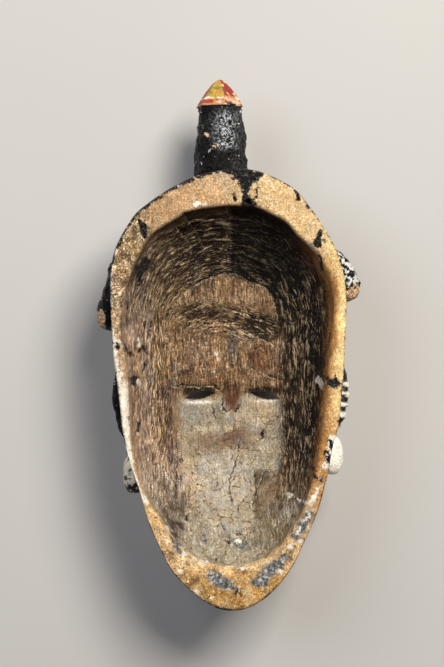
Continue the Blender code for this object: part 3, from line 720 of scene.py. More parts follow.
def hollowTone(points, q, s, f, seedPoints):
    # colours for each zone of the hollow and rim, given in the photograph's pixels, whose edges waver
    px, py = toPhoto(points)
    wide, mid = lumps(seedPoints, 0.05, 21), lumps(seedPoints, 0.018, 22)
    small = lumps(seedPoints, 0.008, 24)
    drawn = lumps(seedPoints * [1, 0.35, 1], 0.009, 23)
    px2, py2 = px + 5 * mid + 2 * small, py + 6 * mid
    bowl = smooth(py2, 470, 520)
    rim = layered("#bda27f", px2, py2, (
        ("#b59570", 1, 175, 205, 60, 34),
        ("#d2b68a", 1, 292, 205, 55, 40),
        ("#e0c38a", 1, 345, 320, 22, 115),
        ("#c2935a", smooth(q, 0.25, 0.9), 332, 335, 14, 110),
        ("#97673a", smooth(drawn, 0.1, 0.35) * smooth(q, 0.3, 0.7) * 0.8, 330, 330, 11, 90),
        ("#cdae88", 1, 122, 280, 20, 58),
        ("#e6cea4", smooth(small + 0.4 * mid, -0.02, 0.15), 119, 275, 20, 60),
        ("#d3b78d", 1, 134, 240, 20, 22),
        ("#4f3626", smooth(-small + 0.5 * mid, 0.20, 0.40) * 0.5, 130, 260, 24, 66),
        ("#d3b183", bowl),
        ("#bc9357", smooth(py2, 555, 590)),
        ("#b07f45", 0.9, 324, 470, 18, 55),
        ("#dcb98b", 0.85, 128, 400, 11, 70),
        ("#e2c99c", smooth(small + 0.5 * drawn, 0.16, 0.4) * smooth(py2, 470, 500) * 0.5),
        ("#e2c796", 0.7, 200, 561, 18, 7),
        ("#dcc39a", 0.6, 262, 564, 16, 5),
        ("#6a4a2c", smooth(-small + 0.4 * mid, 0.18, 0.42) * smooth(py2, 500, 550) * 0.75),
    ))

    left, outerWall = smooth(px2, *zones["left"]), smooth(px2, *zones["outerWall"])
    # right: the walls right of the middle down to the chin's bowl, painted near-black as shade with soot
    right = smooth(px, 228, 232) * smooth(py2, 520, 470)
    dusk = smooth(drawn * (1 - 0.6 * outerWall) + 0.6 * small * outerWall + 0.3 * mid, 0.14, 0.42)
    wall = layered("#9d8876", px2, py2, (
        ("#ae957e", smooth(py2, 380, 430) * left),
        ("#b09c89", smooth(py2, 430, 480) * left),
        ("#8d7455", smooth(s, 0.5, 0.85) * left * smooth(py2, 480, 430)),
        ("#9b8471", outerWall * smooth(py2, 460, 420)),
        ("#5a4844", dusk * 0.75),
        ("#b4987a", smooth(-drawn - 0.2 * mid, 0.20, 0.45) * 0.65 * (1 - 0.7 * outerWall)),
        ("#b88d62", smooth(small - 0.3 * drawn, 0.12, 0.3) * 0.7, 138, 372, 7, 55),
        # painted shade, with soot: the crown's wall left of the middle is darkened, a little less near the rim
        ("#2c1f13", smooth(py2, 300, 262) * smooth(px, 232, 228)),
        ("#5a4934", smooth(s, 0.36, 0.12) * smooth(py2, 290, 262) * smooth(px, 231, 227)),
        ("#6e5a45", 1, 152, 262, 20, 34),
        # painted shade, with soot: the walls right of the middle near-black, with near-black streaks, browning to
        # orange towards the rim
        ("#0a0603", right),
        ("#3a2b1c", smooth(px2, 260, 282) * smooth(py2, 300, 350) * smooth(s, 0.5, 0.8)),
        ("#0a0603", right * smooth(drawn, -0.08, 0.10) * smooth(px2, 270, 290) * 0.85),
        ("#3a2413", right * smooth(px2, 262, 300) * smooth(s, 0.50, 0.2) * smooth(py2, 215, 280)),
        ("#b37f49", right * smooth(px2, 285, 312) * smooth(s, 0.30, 0.06) * smooth(py2, 225, 290)),
        ("#4a3018", smooth(px, 228, 233) * smooth(px2, 300, 270) * smooth(s, 0.16, 0.04) * 0.8),
        ("#7c664b", smooth(px2, 240, 260) * smooth(py2, 450, 500)),
    ))

    # floor, and the bowl of the chin, where wall and floor run together
    low = smooth(py2, 400, 430)
    brownEdge = smooth(px + 3 * small, 253, 256.5) * smooth(py + 12 * small + 8 * mid - 0.3 * px, 392, 402)
    brownEdge = brownEdge * smooth(py + 8 * mid + 0.5 * px, 664, 636)
    # painted shade in the eye slits, and a painted highlight along each slit's lower edge
    slitShade = np.maximum(patch(px, py, 199, 391, 18, 6, 0.3), patch(px, py, 263, 391, 17, 5, 0.3))
    slitEdgeHighlight = np.maximum(patch(px, py, 199.5, 402.3, 12, 1.4), 0.7 * patch(px, py, 265, 400.8, 11, 1.3))
    floor = layered("#9d9381", px2, py2, (
        ("#806549", smooth(py2, 402, 392)),
        ("#8f7456", 1, 226, 294, 46, 18, 0.4),
        # painted shade under the brows
        ("#3d2e20", 1, 196, 314, 26, 7),
        ("#2d2116", smooth(small, -0.35, 0.1), 224, 313, 20, 7),
        ("#2a1e13", 1, 260, 328, 24, 12, 0.4),
        ("#8a7058", 1, 200, 352, 20, 24, 0.4),
        ("#6b523d", smooth(small + 0.3 * drawn, 0.1, 0.35), 205, 350, 24, 30),
        ("#76523a", patch(px + 3 * small, py, 262, 357, 13, 13, 0.15) * 0.9),
        ("#93795f", patch(px + 3 * small, py, 247, 340, 12, 9, 0.3) * 0.8),
        ("#8f7a62", patch(px + 2 * small, py, 277, 352, 5, 12, 0.2) * 0.8),
        ("#a3855f", 0.7, 217, 356, 3, 26, 0.8),
        ("#b06f35", patch(px, py, 216, 352, 2.2, 22) * smooth(small, -0.05, 0.25)),
        ("#5f3d2a", 1, 231, 398, 8, 13),
        ("#7a3c28", smooth(small, -0.3, 0.2) * 0.9, 216, 377, 9, 4, 0.6),
        ("#57382c", smooth(small, -0.2, 0.3) * 0.8, 196, 373, 14, 6, 0.6),
        ("#5d5a57", patch(px, py2, 232.5, 347, 4.5, 17, 0.7) * 0.9),
        ("#8f887a", 1, 204, 414, 24, 12, 0.4),
        ("#a99a82", 1, 258, 412, 24, 11),
        ("#84705a", smooth(small, -0.6, 0.0), 226, 438, 33, 14, 0.4),
        ("#5f4540", 0.6, 232, 437, 12, 10, 0.6),
        ("#aaa294", 1, 215, 480, 30, 24, 0.6),
        ("#9a906f", 0.6, 188, 480, 10, 34, 0.6),
        ("#9a8468", smooth(px2, 186, 172) * smooth(py2, 490, 440) * smooth(py2, 330, 380)),
        ("#6d5c48", patch(px + small, py, 175.5, 468, 1.6, 36) * 0.8),
        ("#c5b48f", patch(px + small, py, 178.5, 470, 1.5, 34) * 0.9),
        ("#7a6a54", brownEdge * 0.9),
        ("#4d3e2d", brownEdge * smooth(small + 0.5 * mid, -0.05, 0.3) * 0.9),
        ("#7f7058", 1, 274, 538, 22, 20, 0.6),
        ("#5e4f45", smooth(mid, -0.5, 0.2), 172, 508, 13, 36, 0.6),
        ("#3b2e26", smooth(small + 0.3 * mid, 0.0, 0.25) * 0.9, 176, 520, 11, 28),
        ("#a39a86", 0.7, 225, 545, 40, 18),
        # painted shade: the floor darkened along its right edge beside the wall
        ("#35281a", smooth(px2, 274, 286) * smooth(py2, 520, 470)),
        ("#7a6c58", smooth(small + 0.4 * mid, 0.25, 0.55) * low * 0.5),
        ("#c4b89c", smooth(-small + 0.3 * drawn, 0.25, 0.5) * low * 0.5),
        ("#120b08", slitShade * 0.9),
        ("#ece8de", slitEdgeHighlight * 0.85),
    ))
    edgeSoftness = np.where(px < 215, 0.80, 0.965) - 0.1 * smooth(py, 440, 480)
    onFloor = np.maximum(smooth(f, 1.0, edgeSoftness), bowl)
    inside = wall + (floor - wall) * onFloor[..., None]
    inside = tint(inside, "#b39c76", bowl * smooth(s, 0.16, 0.0) * smooth(mid, -0.4, 0.3) * 0.8)
    softEdge = patch(px2, py2, 125, 370, 30, 95)
    inRim = smooth(q + 0.25 * small + 0.2 * mid, 1.0 - 0.3 * softEdge, 1.05) * (1 - smooth(s, 0, 1e-6)) * softEdge
    inward = np.maximum(inRim * 0.8, smooth(s, -0.1 * softEdge, 0.05 + 0.07 * softEdge))
    return (rim + (inside - rim) * inward[..., None]) * (1 + 0.15 * wide + 0.18 * mid)[..., None]


# Paint on the rim and in the hollow: tapered blots (ax, ay, bx, by, half width at each end)
paints = {
    "black": [
        (229, 171, 259, 174, 3, 4), (235, 176, 254, 178, 4, 5), (245, 181, 246, 193, 7, 4),
        (246, 193, 246, 203, 4, 4.6),
        (244, 204, 252, 204, 4, 4.4), (257.5, 185, 257, 197, 1.2, 1.4), (234, 194, 235, 199, 0.6, 1.8),
        (138, 220, 143, 228, 2, 3.8), (142, 227, 146, 236, 4, 2.6), (138, 277, 146, 262, 3.6, 5),
        (137, 268, 140, 284, 3, 2.4),
        (320, 231, 317, 244, 2.6, 4.2), (323, 240, 325, 241, 1.2, 0.8), (316, 251, 321, 258, 0.9, 1.1),
        (321, 258, 322, 268, 1.1, 0.8),
        (296, 192, 299, 200, 1.6, 1.8), (304, 202, 307, 206, 1.2, 1.4), (314, 211, 319, 216, 1.4, 1.0),
        (328, 381, 335, 384, 4, 4.2), (322, 376, 328, 379, 1.2, 2.6), (335, 376, 336, 381, 1.8, 2.4),
        (324, 354, 323, 366, 1.4, 1.6),
        (330, 334, 329, 341, 1.1, 0.8), (327, 345, 325, 352, 0.9, 0.9), (330, 440, 332, 447, 2.4, 2.8),
        (327, 453, 329, 461, 2.6, 2.4),
        (310, 467, 317, 470, 1.0, 1.4), (312, 473, 316, 478, 1.2, 1.4), (321, 480, 323, 482, 1.2, 1.0),
        (236, 591, 240, 591, 1.2, 1.4), (240, 591, 240.5, 596, 1.6, 1.0), (236, 591, 236, 594, 1, 1),
        (186, 516, 187, 519, 1.8, 1.6), (124.5, 345, 127, 350, 1.6, 1.8), (129, 352, 132, 355, 1.8, 1.2),
        (139, 352, 143, 347, 1.0, 1.6),
        (145, 349, 147, 353, 1.4, 1.0), (117, 344, 118, 348, 1.6, 1.6), (132, 378, 134, 384, 2, 2.4),
        (134, 378, 138, 377.5, 1.8, 1.4),
        (262, 432, 263, 436, 2.0, 1.8), (303, 456, 305, 468, 1.2, 1.8), (127, 303, 128, 308, 1.2, 1),
        (138, 423, 139, 430, 1.4, 1.8),
        (143, 372, 145, 362, 0.8, 1.2), (150, 330, 152, 322, 0.8, 1.2),
    ],
    "white": [
        (326, 466, 333, 440, 3, 4.4), (318, 490, 313, 499, 2.0, 2.4), (313, 500, 308, 503.5, 2.2, 2),
        (307, 503.5, 299, 500, 1.8, 1.4),
        (289, 494, 291, 495, 2.2, 2.4), (289, 548, 300, 541, 1.8, 2.4), (318, 380, 322, 387, 3, 2.6),
        (318, 378, 321, 379, 1.6, 1.6),
        (220, 567, 246, 568, 0.6, 0.9), (190, 558, 206, 563, 0.6, 1.6), (184, 553, 186, 556, 2.4, 2.2),
        (138, 381, 140, 385, 1.8, 2),
        (195, 203.5, 204, 204.5, 2.2, 2.6), (138, 339, 139, 346, 1.4, 1.4), (234.5, 542, 240, 541, 1.4, 1.8),
        (280, 571, 281, 573, 2, 2),
        (297, 533, 309, 515, 1.4, 1.8), (206, 341, 207, 345, 0.6, 0.8), (215, 339, 215.5, 345, 0.4, 0.7),
        (216, 352, 217, 360, 0.7, 0.4), (214, 369, 215, 376, 0.5, 0.4), (166, 527, 168, 530, 1.4, 1.2),
        (145, 497, 148, 503, 1.6, 2),
        (197, 590, 198, 591, 1.6, 1.6), (180, 571, 181, 573, 1.4, 1.4), (211, 597, 212, 598, 1.4, 1.4),
    ],
    "grey": [
        (213, 577, 222, 582, 6, 8), (222, 582, 234, 588, 7, 4), (210, 572, 216, 575, 3, 4),
        (284, 556, 276, 566, 4.4, 6.5),
        (274, 567, 262, 580, 6, 7), (256, 582, 263, 583, 5, 5.5), (296, 536, 310, 514, 4, 4.8),
        (171, 538, 176, 545, 2.2, 3.4),
        (176, 547, 182, 553, 3.2, 3), (234, 543, 242, 545, 2.4, 3.4), (204, 536, 205, 541, 2, 2.4),
        (222, 522, 231, 540, 0.6, 0.8), (231, 173, 258, 177, 1.2, 1.2), (245, 183, 247, 190, 1.4, 1.4),
        (320, 478, 323, 482, 2, 2),
        (141, 224, 144, 231, 1.6, 1.4), (137, 381, 139, 384, 1.8, 1.8),
    ],
}


def paintField(px, py, blots):
    # how far inside the nearest blot a point lies, in pixels
    field = np.full(px.shape, float(unpainted))
    for ax, ay, bx, by, wideA, wideB in blots:
        field = np.maximum(field, blot(px, py, ax, ay, bx, by, wideA, wideB))
    return np.clip(field, unpainted, -unpainted)


# Face side: hair cap in braids, buns, brows, lids, nose and lips, as in the CAD, in metres
face = {
    "eyeY": -0.054, "eyeSpacing": 0.065, "eyeAcross": 0.002, "eyeLength": 0.031, "eyeGap": 0.0078,
    "eyeSlant": math.radians(11), "noseTop": -0.032, "noseLength": 0.092, "noseWidth": 0.036, "noseBridge": 0.014,
    "noseRoot": 0.012, "mouthY": -0.158, "mouthWidth": 0.052, "lipHeight": 0.011, "lipRise": 0.007,
    "browRise": 0.004, "browAbove": 0.020, "browSpan": 0.056, "browWidth": 0.009,
    "lidRise": 0.004, "lidLength": 0.041, "lidWidth": 0.020, "lidPainted": 0.0062,
    "hairRise": 0.003, "braidRise": 0.003, "braids": 48, "plaitMm": 9, "curlMm": 5.5,
    "bunSpacing": 0.062, "bunY": 0.069, "bunPainted": 0.0205, "bunCoil": 0.0045,
    "bunRadii": (0, 0.011, 0.0145, 0.0172, 0.019, 0.0193), "bunForward": (0.134, 0.134, 0.1315, 0.127, 0.121, 0.0),
    "noseDown": (0, 0.15, 0.35, 0.55, 0.72, 0.84, 0.91, 0.96, 1),
    "noseRise": (0.02, 0.15, 0.38, 0.62, 0.82, 0.96, 1.0, 0.85, 0.3),
    "noseWidening": (0, 0, 0.02, 0.12, 0.38, 0.82, 1, 0.9, 0.4),
}


def bandOver(x, y, points, halfWidth):
    # a rounded ridge along a line, tapered at its ends: sqrt(1 - (distance / half width)^2)
    away, where = toLine(x, y, points)
    taper = np.sin(math.pi * (0.06 + 0.88 * where)) ** 0.7
    return taper * np.sqrt(np.clip(1 - (away / (halfWidth * np.maximum(taper, 0.15))) ** 2, 0, 1))

def faceLines():
    # brows, lids and lips: their paint, points, rise, half width, half width of paint and its grade
    brows, lips = np.linspace(-0.5, 0.5, 15), np.linspace(-0.5, 0.5, 13)
    lines = []
    for side in (-1, 1):
        eyeX = side * face["eyeSpacing"] / 2 + face["eyeAcross"]
        browY = face["eyeY"] + face["browAbove"] * (1 - 1.4 * (brows + 0.05) ** 2)
        half = face["browWidth"] / 2
        lines.append(("black", eyeX + side * brows * face["browSpan"], browY, face["browRise"], half, half, 1100))
        slant, along = -side * face["eyeSlant"], brows * face["lidLength"]
        lines.append(("black", eyeX + along * math.cos(slant), face["eyeY"] + along * math.sin(slant),
                      face["lidRise"], face["lidWidth"] / 2, face["lidPainted"], 700))
    for which in (1, -1):
        lipY = face["mouthY"] + which * face["lipHeight"] * 0.45 * (1 - 2 * lips**2) - face["lipHeight"] * lips**2
        half = face["lipHeight"] / 2
        lines.append(("red", lips * face["mouthWidth"], lipY, face["lipRise"], half, half, 1000))
    return lines


def outerSurface(r, share):
    # rim outlines shrunk towards the face by the cosine of a quarter turn; the depth comes from the egg
    size = np.cos((1 - r) * math.pi / 2) ** (2 / body["sidePower"])
    size = np.where(r <= 0, 0, size)
    outline = onCurve(outerCurve, share)
    middle = np.array([0.0, -0.05])
    plan = middle + (outline - middle) * size[..., None]
    here, edge = eggShare(plan[..., 0], plan[..., 1]), eggShare(outline[..., 0], outline[..., 1])
    forward = faceForward(here * (1 + (1 / edge - 1) * size**4))
    x, y = plan[..., 0], plan[..., 1]

    # brows, lids, lips and nose rise from the face
    raised = np.zeros(x.shape)
    paint = {name: np.full(x.shape, float(unpainted)) for name in ("black", "white", "grey", "red")}
    for colour, lineX, lineY, rise, half, painted, grade in faceLines():
        line = list(zip(lineX, lineY))
        raised = np.maximum(raised, rise * bandOver(x, y, line, half))
        away, _ = toLine(x, y, line)
        paint[colour] = np.maximum(paint[colour], (painted - np.abs(away)) * grade)
    down = np.clip((face["noseTop"] - y) / face["noseLength"], -0.2, 1.2)
    rise = np.interp(down, face["noseDown"], face["noseRise"], left=0, right=0)
    widening = np.interp(down, face["noseDown"], face["noseWidening"])
    bridge = face["noseBridge"] / face["noseWidth"]
    half = face["noseWidth"] / 2 * (bridge + (1 - bridge) * widening)
    spine = faceForward(eggShare(0 * x, y))
    front = spine + (body["depth"] - spine) * rise
    root = spine - face["noseRoot"]
    profile = (root + front) / 2 + (front - root) / 2 * np.sqrt(np.clip(1 - (x / half) ** 2, 0, 1))
    raised = np.maximum(raised, np.where((down >= 0) & (down <= 1) & (np.abs(x) < half), profile - forward, 0))

    # hair: rounded braids, cross-hatched as plaited, thinning out to the rim
    p, q, reach = halfEgg(y)
    above = y - body["widestY"]
    angle = np.arctan2(np.sign(above) * (np.abs(above) / reach) ** (q / 2),
                       np.sign(x) * (np.abs(x) / body["halfWidth"]) ** (p / 2))
    curls = [0.0016 * np.abs(np.sin(where * 1000 / face["curlMm"])) for where in (forward, x)]
    hairline = body["widestY"] - 0.006 - 0.030 * (np.abs(x) / body["halfWidth"]) ** 2 + curls[0] + curls[1]
    inHair = smooth(y, hairline - 0.003, hairline + 0.003)
    fromTop = np.hypot(x, above)
    turned = angle * face["braids"] / 2
    strand = np.abs(np.cos(turned))
    plait = (fromTop + forward) * 1000 / face["plaitMm"] + 0.5 * np.abs(np.sin(turned))
    plaited = 0.5 + 0.5 * np.cos(2 * math.pi * plait)
    braid = smooth(fromTop / body["crownReach"], 0.1, 0.5) * (0.60 * strand**0.7 + 0.40 * plaited)
    hairHeight = (face["hairRise"] + face["braidRise"] * braid) * inHair * smooth(forward, 0.003, 0.050)
    hairHeight -= 0.0014 * (1 - strand**0.6) * inHair * smooth(forward, 0.004, 0.010)
    for side in (-1, 1):
        away = np.hypot(x - side * face["bunSpacing"] / 2, y - face["bunY"])
        coil = 0.0006 * np.cos(2 * math.pi * (away / face["bunCoil"])) - 0.0006
        top = np.interp(away, face["bunRadii"], face["bunForward"])
        top = top + np.where((away > face["bunRadii"][1]) & (away < 0.018), coil, 0)
        raised = np.maximum(raised, np.where(away < face["bunRadii"][-1], top - forward, 0))
        paint["black"] = np.maximum(paint["black"], (face["bunPainted"] - away) * 1000)
    points = np.dstack([plan, body["depth"] - forward])
    outward = points - np.array([0, body["widestY"], body["depth"]])
    outward /= np.maximum(np.linalg.norm(outward, axis=-1, keepdims=True), 1e-9)
    points = points + outward * hairHeight[..., None]
    points[..., 2] -= raised
    rough = 0.35 * lumps(points, 0.010, 31) + 0.6 * lumps(points, 0.04, 32) - 0.6
    points = points + outward * (smooth(r, 1.0, 0.96) * np.minimum(rough, 0) / 1000)[..., None]
    points[..., 2] = np.maximum(points[..., 2], 0)

    # paint: black hair, white face, red lips; bare wood shows where the white has worn
    paint["black"] = np.maximum(paint["black"], np.clip((y - hairline) * 1000, unpainted, -unpainted))
    wear = 5 * lumps(points, 0.03, 33) + 3 * lumps(points, 0.010, 34)
    lost = 9 * smooth(raised, 0.003, 0.006) * smooth(wear, -1, 2) + 9 * smooth(r, 0.84, 0.99)
    paint["white"] = np.clip(9 - wear * 1.6 - lost - 14 * smooth(y, -0.16, -0.25), unpainted, -unpainted)
    paint["white"] = np.where(paint["red"] > -0.5, unpainted, paint["white"])
    tone = layered("#a97844", x, y, (
        ("#8c5f38", smooth(wear, -1, 2)), ("#8a3b26", smooth(paint["red"], -0.5, 0.5))))
    crest = np.clip((0.75 * strand + 0.25 * plaited - 0.35) * 1.5, 0, 1) * inHair
    return points, tone, paint, crest


def strokeField(px, py, q, s, share, jitter, brows):
    # places in units of one stroke: round the crown's wall, slanting across the brows, along the rim, and up and
    # down elsewhere; each kind takes its own plane of the noise
    angle = share * 2 * math.pi
    length, width = strokeSizes["crown"]
    x, y = (turned * hollow["wallRadiusMm"] / length for turned in (np.cos(angle), np.sin(angle)))
    crown = np.dstack([x, y, s * hollow["wallMm"] / width + 2.0 * jitter])
    length, width = strokeSizes["upright"]
    upright = np.dstack([px / width + 1.5 * jitter, py / length, 0 * px + 50])
    length, width = strokeSizes["rim"]
    rim = np.dstack([px / width, py / length, 0 * px + 90])
    length, width = strokeSizes["brows"]
    slope = np.radians(np.where(px < photo["midAcross"], -1, 1) * strokeSizes["slope"])
    along, across = px * np.cos(slope) + py * np.sin(slope), py * np.cos(slope) - px * np.sin(slope)
    slanted = np.dstack([along / length, across / width, 0 * px + 70])
    stroke = np.where(((s < 1) & (py + 14 * jitter < 316))[..., None], crown, upright)
    stroke = np.where(brows[..., None], slanted, stroke)
    return np.where((q < 1)[..., None], rim, stroke)


def buildShell():
    r, share = gridShares()
    smoothInner, q, s, f = innerSurface(r, share)
    inner, crest = carveHollow(smoothInner, r, share, q, s, f)
    px, py = toPhoto(inner)
    onRim, onFloor = q < 1, s >= 1
    tone = hollowTone(inner, q, s, f, smoothInner)
    black, white, grey = (paintField(px, py, paints[name]) for name in ("black", "white", "grey"))
    hem = lumps(inner, 0.02, 41) * 2.5 + lumps(inner, 0.006, 42) * 2
    edgeMm = q * np.linalg.norm(onCurve(outerCurve, share) - onCurve(mouthCurve, share), axis=-1) * 1000
    upperLeft = smooth(py, 330, 250) * smooth(px, 262, 235)
    for border in (2.2 * upperLeft + 1.2 * smooth(py, 235, 200) - 0.4 + hem * 0.4,
                   1.3 * patch(px, py, 205, 592, 62, 42) + hem * 0.25):
        black = np.maximum(black, np.where(onRim, border - edgeMm, unpainted))
    marks = [field for lines in (cracksA, cracksB) for field in lineField(px, py, lines, 7)]

    # how strong the tool strokes are, how far their painted highlights and painted shade reach, how crazed the surface
    # is, and how gritty
    jitter = lumps(inner, 0.010, 44)
    brows = onFloor & (np.hypot((px - 226) / 56, (py - 321 - 0.12 * (px - 226)) / 17) + 0.35 * jitter < 1)
    crown, upper, bowl = smooth(py, *zones["crown"]), smooth(py, *zones["upper"]), smooth(py, 460, 520)
    left = smooth(px, *zones["left"])
    inWall = smooth(s, 0.03, 0.3) * (s < 1)
    rightWall = smooth(px, 226, 290)
    leftFibre = smooth(px, 142, 156) * smooth(px, 200, 180) * (1 - crown)
    strength = 0.18 + inWall * (0.30 + 0.30 * leftFibre + 0.35 * crown + 0.4 * rightWall * (1 - crown))
    strength = np.where(onFloor, 0.14 + 0.30 * upper + 0.4 * smooth(px, 272, 288) + 0.3 * brows, strength)
    strength = strength * (1 - 0.55 * bowl) * (1 - 0.25 * smooth(py, 420, 470) * left)
    rightTop = smooth(px, 228, 233) * smooth(py, 300, 262)
    crownBite = (1 - 0.72 * rightTop) * crown * smooth(s, 0.10, 0.34)
    rightBite = 0.9 * rightWall * (1 - 0.65 * rightTop) * smooth(s, 0.12, 0.45)
    strokeShading = inWall * (np.maximum(crownBite, rightBite) + (0.12 + 0.16 * leftFibre) * (1 - crown))
    strokeShading = np.where(onFloor, 0.35 * upper + 0.55 * smooth(px, 274, 288) + 0.6 * brows, strokeShading) * (1 - bowl)
    crackle = 0.8 * (onFloor * smooth(py, 395, 420) + bowl * (q >= 1))
    rimGrit = 0.62 - 0.15 * patch(px, py, 330, 260, 40, 150) + 0.35 * smooth(py, 480, 530)
    rimGrit += 1.0 * patch(px, py, 125, 262, 27, 66)
    grit = np.where(onRim, rimGrit, 0.8 - 0.35 * smooth(px, 156, 144))
    grit = np.where(onFloor, 0.56 + 0.45 * upper, grit) * (1 - 0.2 * bowl)

    # white paint runs down the left rim, its width in mm by pixels down, and spatter lies thickest beside paint
    leftEdge = smooth(px, 222, 200) * smooth(py, 322, 340)
    whiteWide = np.interp(py, [326, 340, 372, 385, 450, 480, 500, 512], [0, 5, 4.5, 9, 9.5, 7, 5, -1]) + 2.0 * hem
    white = np.maximum(white, np.where(onRim & (px < photo["midAcross"]), whiteWide - edgeMm, unpainted))
    spatter = onRim * (0.9 * smooth(edgeMm, 4.5, 2.5) * np.maximum(upperLeft, 0.35) + 0.9 * leftEdge)
    spatter += 0.10 + 0.6 * smooth(py, 490, 530) * onRim + 0.5 * patch(px, py, 315, 475, 16, 20)
    spatter += 0.25 * inWall * left

    # both sides share the points of the rim's edge
    outer, outerTone, outerPaint, outerCrest = outerSurface(r, share)
    inside = r < 1 - 1e-9
    numbers = np.arange(r.size).reshape(r.shape)
    outerNumbers = numbers.copy()
    outerNumbers[inside] = r.size + np.arange(inside.sum())
    faces = np.concatenate([quadsOf(numbers), quadsOf(outerNumbers, flip=True)])

    def both(innerValues, outerValues):
        return np.concatenate([innerValues.reshape(r.size, -1), outerValues[inside]])

    def stack(*values):
        return np.dstack([value + np.zeros(r.shape) for value in values])

    work = [np.clip(values, 0, 1) for values in (crest, strength, strokeShading, crackle)]
    attributes = {
        "tone": both(np.dstack([tone, grit]), np.dstack([outerTone, stack(faceSide["grit"])])),
        "paint": both(stack(black, white, grey, np.clip(spatter, 0, 1)),
                      stack(outerPaint["black"], outerPaint["white"], outerPaint["grey"], faceSide["spatter"])),
        "work": both(stack(*work), stack(outerCrest, faceSide["strength"], 0, faceSide["crackle"])),
        "marks": both(stack(*marks), stack(unmarked, 0, unmarked, 0)),
        "stroke": both(strokeField(px, py, q, s, share, jitter, brows), outer * 1000 / np.array(faceSide["stroke"])),
    }
    return makePiece("maskShell", both(inner, outer), faces.tolist(), carvedWood(), attributes), attributes


# Cord holes: where each starts, its direction and its length, in metres; the crown's is bored aslant
cordBore = math.radians(38)
cords = {"radius": 0.004, "holes": [
    ((-0.0765, -0.038, 0.123), (-1, 0, 0), 0.046), ((0.071, -0.038, 0.123), (1, 0, 0), 0.051),
    ((0.016, 0.1185, 0.1414), (0, math.cos(cordBore), -math.sin(cordBore)), 0.084),
]}


def slitRing(side):
    # an eye slit: two parabolas, a little uneven, turned by the eye's slant
    t = np.linspace(-0.5, 0.5, 20)
    lens = np.concatenate([np.stack([t, 0.5 - 2 * t**2], 1)[:-1], np.stack([-t, -0.5 + 2 * t**2], 1)[:-1]])
    lens[:, 1] += 0.05 * np.sin(lens[:, 0] * 40)
    slant = -side * face["eyeSlant"]
    along, across = lens[:, 0] * face["eyeLength"], lens[:, 1] * face["eyeGap"]
    x = face["eyeAcross"] + side * face["eyeSpacing"] / 2 + along * math.cos(slant) - across * math.sin(slant)
    return np.stack([x, face["eyeY"] + along * math.sin(slant) + across * math.cos(slant)], 1)


def pierce(shell, attributes):
    # cuts the eye slits and the cord holes, then gives the new points the values of the nearest old ones
    prisms = []
    for side in (-1, 1):
        ring = slitRing(side)
        prisms.append([np.column_stack([ring, np.full(len(ring), z)]) for z in (0.15, -0.01)])
    for start, direction, length in cords["holes"]:
        direction = np.array(direction)
        side = np.cross(direction, (0, 0, 1.0))
        side /= np.linalg.norm(side)
        angle = np.linspace(0, 2 * math.pi, 24, endpoint=False)[:, None]
        ring = cords["radius"] * (side * np.cos(angle) + np.cross(direction, side) * np.sin(angle))
        prisms.append([np.array(start) + ring, np.array(start) + direction * length + ring])
    points, faces = np.vstack([ring for pair in prisms for ring in pair]), []
    first = 0
    for top, _ in prisms:
        count = len(top)
        loop = [(first + i, first + (i + 1) % count) for i in range(count)]
        faces += [(i, i + count, j + count, j) for i, j in loop]
        faces += [tuple(i for i, _ in loop), tuple(i + count for i, _ in reversed(loop))]
        first += 2 * count
    cutter = makePiece("cutter", points, faces, shell.data.materials[0])
    faceOutwards(cutter)

    boolean = shell.modifiers.new("pierce", "BOOLEAN")
    boolean.operation, boolean.solver, boolean.object = "DIFFERENCE", "EXACT", cutter
    cut = bpy.data.meshes.new_from_object(shell.evaluated_get(bpy.context.evaluated_depsgraph_get()))
    shell.modifiers.clear()
    old = shell.data
    tree = kdtree.KDTree(len(old.vertices))
    for index, vertex in enumerate(old.vertices):
        tree.insert(vertex.co, index)
    tree.balance()
    nearest = np.array([tree.find(vertex.co)[1] for vertex in cut.vertices])
    for label in attributes:
        if label in cut.attributes:
            cut.attributes.remove(cut.attributes[label])
    writeAttributes(cut, {label: values[nearest] for label, values in attributes.items()})
    cut.name = "maskShell"
    cut.shade_smooth()
    cut.set_sharp_from_angle(angle=math.radians(60))
    shell.data = cut
    bpy.data.meshes.remove(old)
    bpy.data.objects.remove(cutter)


def closedTube(name, centres, halfAcross, halfDeep, material, attributes, around, rough, size, seed, shape=None):
    # ellipses round a line along Y, roughened outwards by noise and closed at both ends by a point
    angle = np.linspace(0, 2 * math.pi, around, endpoint=False)[None, :]
    bulge = shape(angle) if shape else 1.0
    x = centres[:, 0:1] + halfAcross[:, None] * np.cos(angle) * bulge
    z = centres[:, 2:3] + halfDeep[:, None] * np.sin(angle) * bulge
    points = np.dstack([x, centres[:, 1:2] + 0 * angle, z])
    out = np.dstack([np.cos(angle) + 0 * x, 0 * x, np.sin(angle) + 0 * x])
    points = points + out * (rough * (lumps(points, size, seed) - 0.45))[..., None]
    rows = len(centres)
    flat = np.vstack([points.reshape(-1, 3), points[0].mean(0), points[-1].mean(0)])
    numbers = np.arange(rows * around).reshape(rows, around)
    turned = np.roll(numbers, -1, axis=1)
    first = [(rows * around, b, a) for a, b in zip(numbers[0].tolist(), turned[0].tolist())]
    last = [(rows * around + 1, a, b) for a, b in zip(numbers[-1].tolist(), turned[-1].tolist())]
    faces = quadsOf(np.hstack([numbers, numbers[:, :1]]), flip=True).tolist() + first + last
    return makePiece(name, flat, faces, material, attributes(flat))


def centreLine(x, y, forward):
    return np.stack([x + 0 * y, y, 0 * y + body["depth"] - forward], axis=-1)


def wornAndSheen(bare, rubbed):
    # the attribute that the black crust reads
    return np.stack([bare, rubbed, 0 * bare], axis=-1)


def opaque(colour):
    return np.column_stack([colour, np.ones(len(colour))])


def sideOfShell(y, forward):
    # half the shell's width at a height and depth, as in the CAD
    p, q, reach = halfEgg(y)
    size = (1 - (forward / body["faceDepth"]) ** 2) ** (1 / body["sidePower"])
    left = np.clip(1 - (np.abs(y - body["widestY"]) / (reach * size)) ** q, 0, 1)
    return body["halfWidth"] * size * left ** (1 / p)


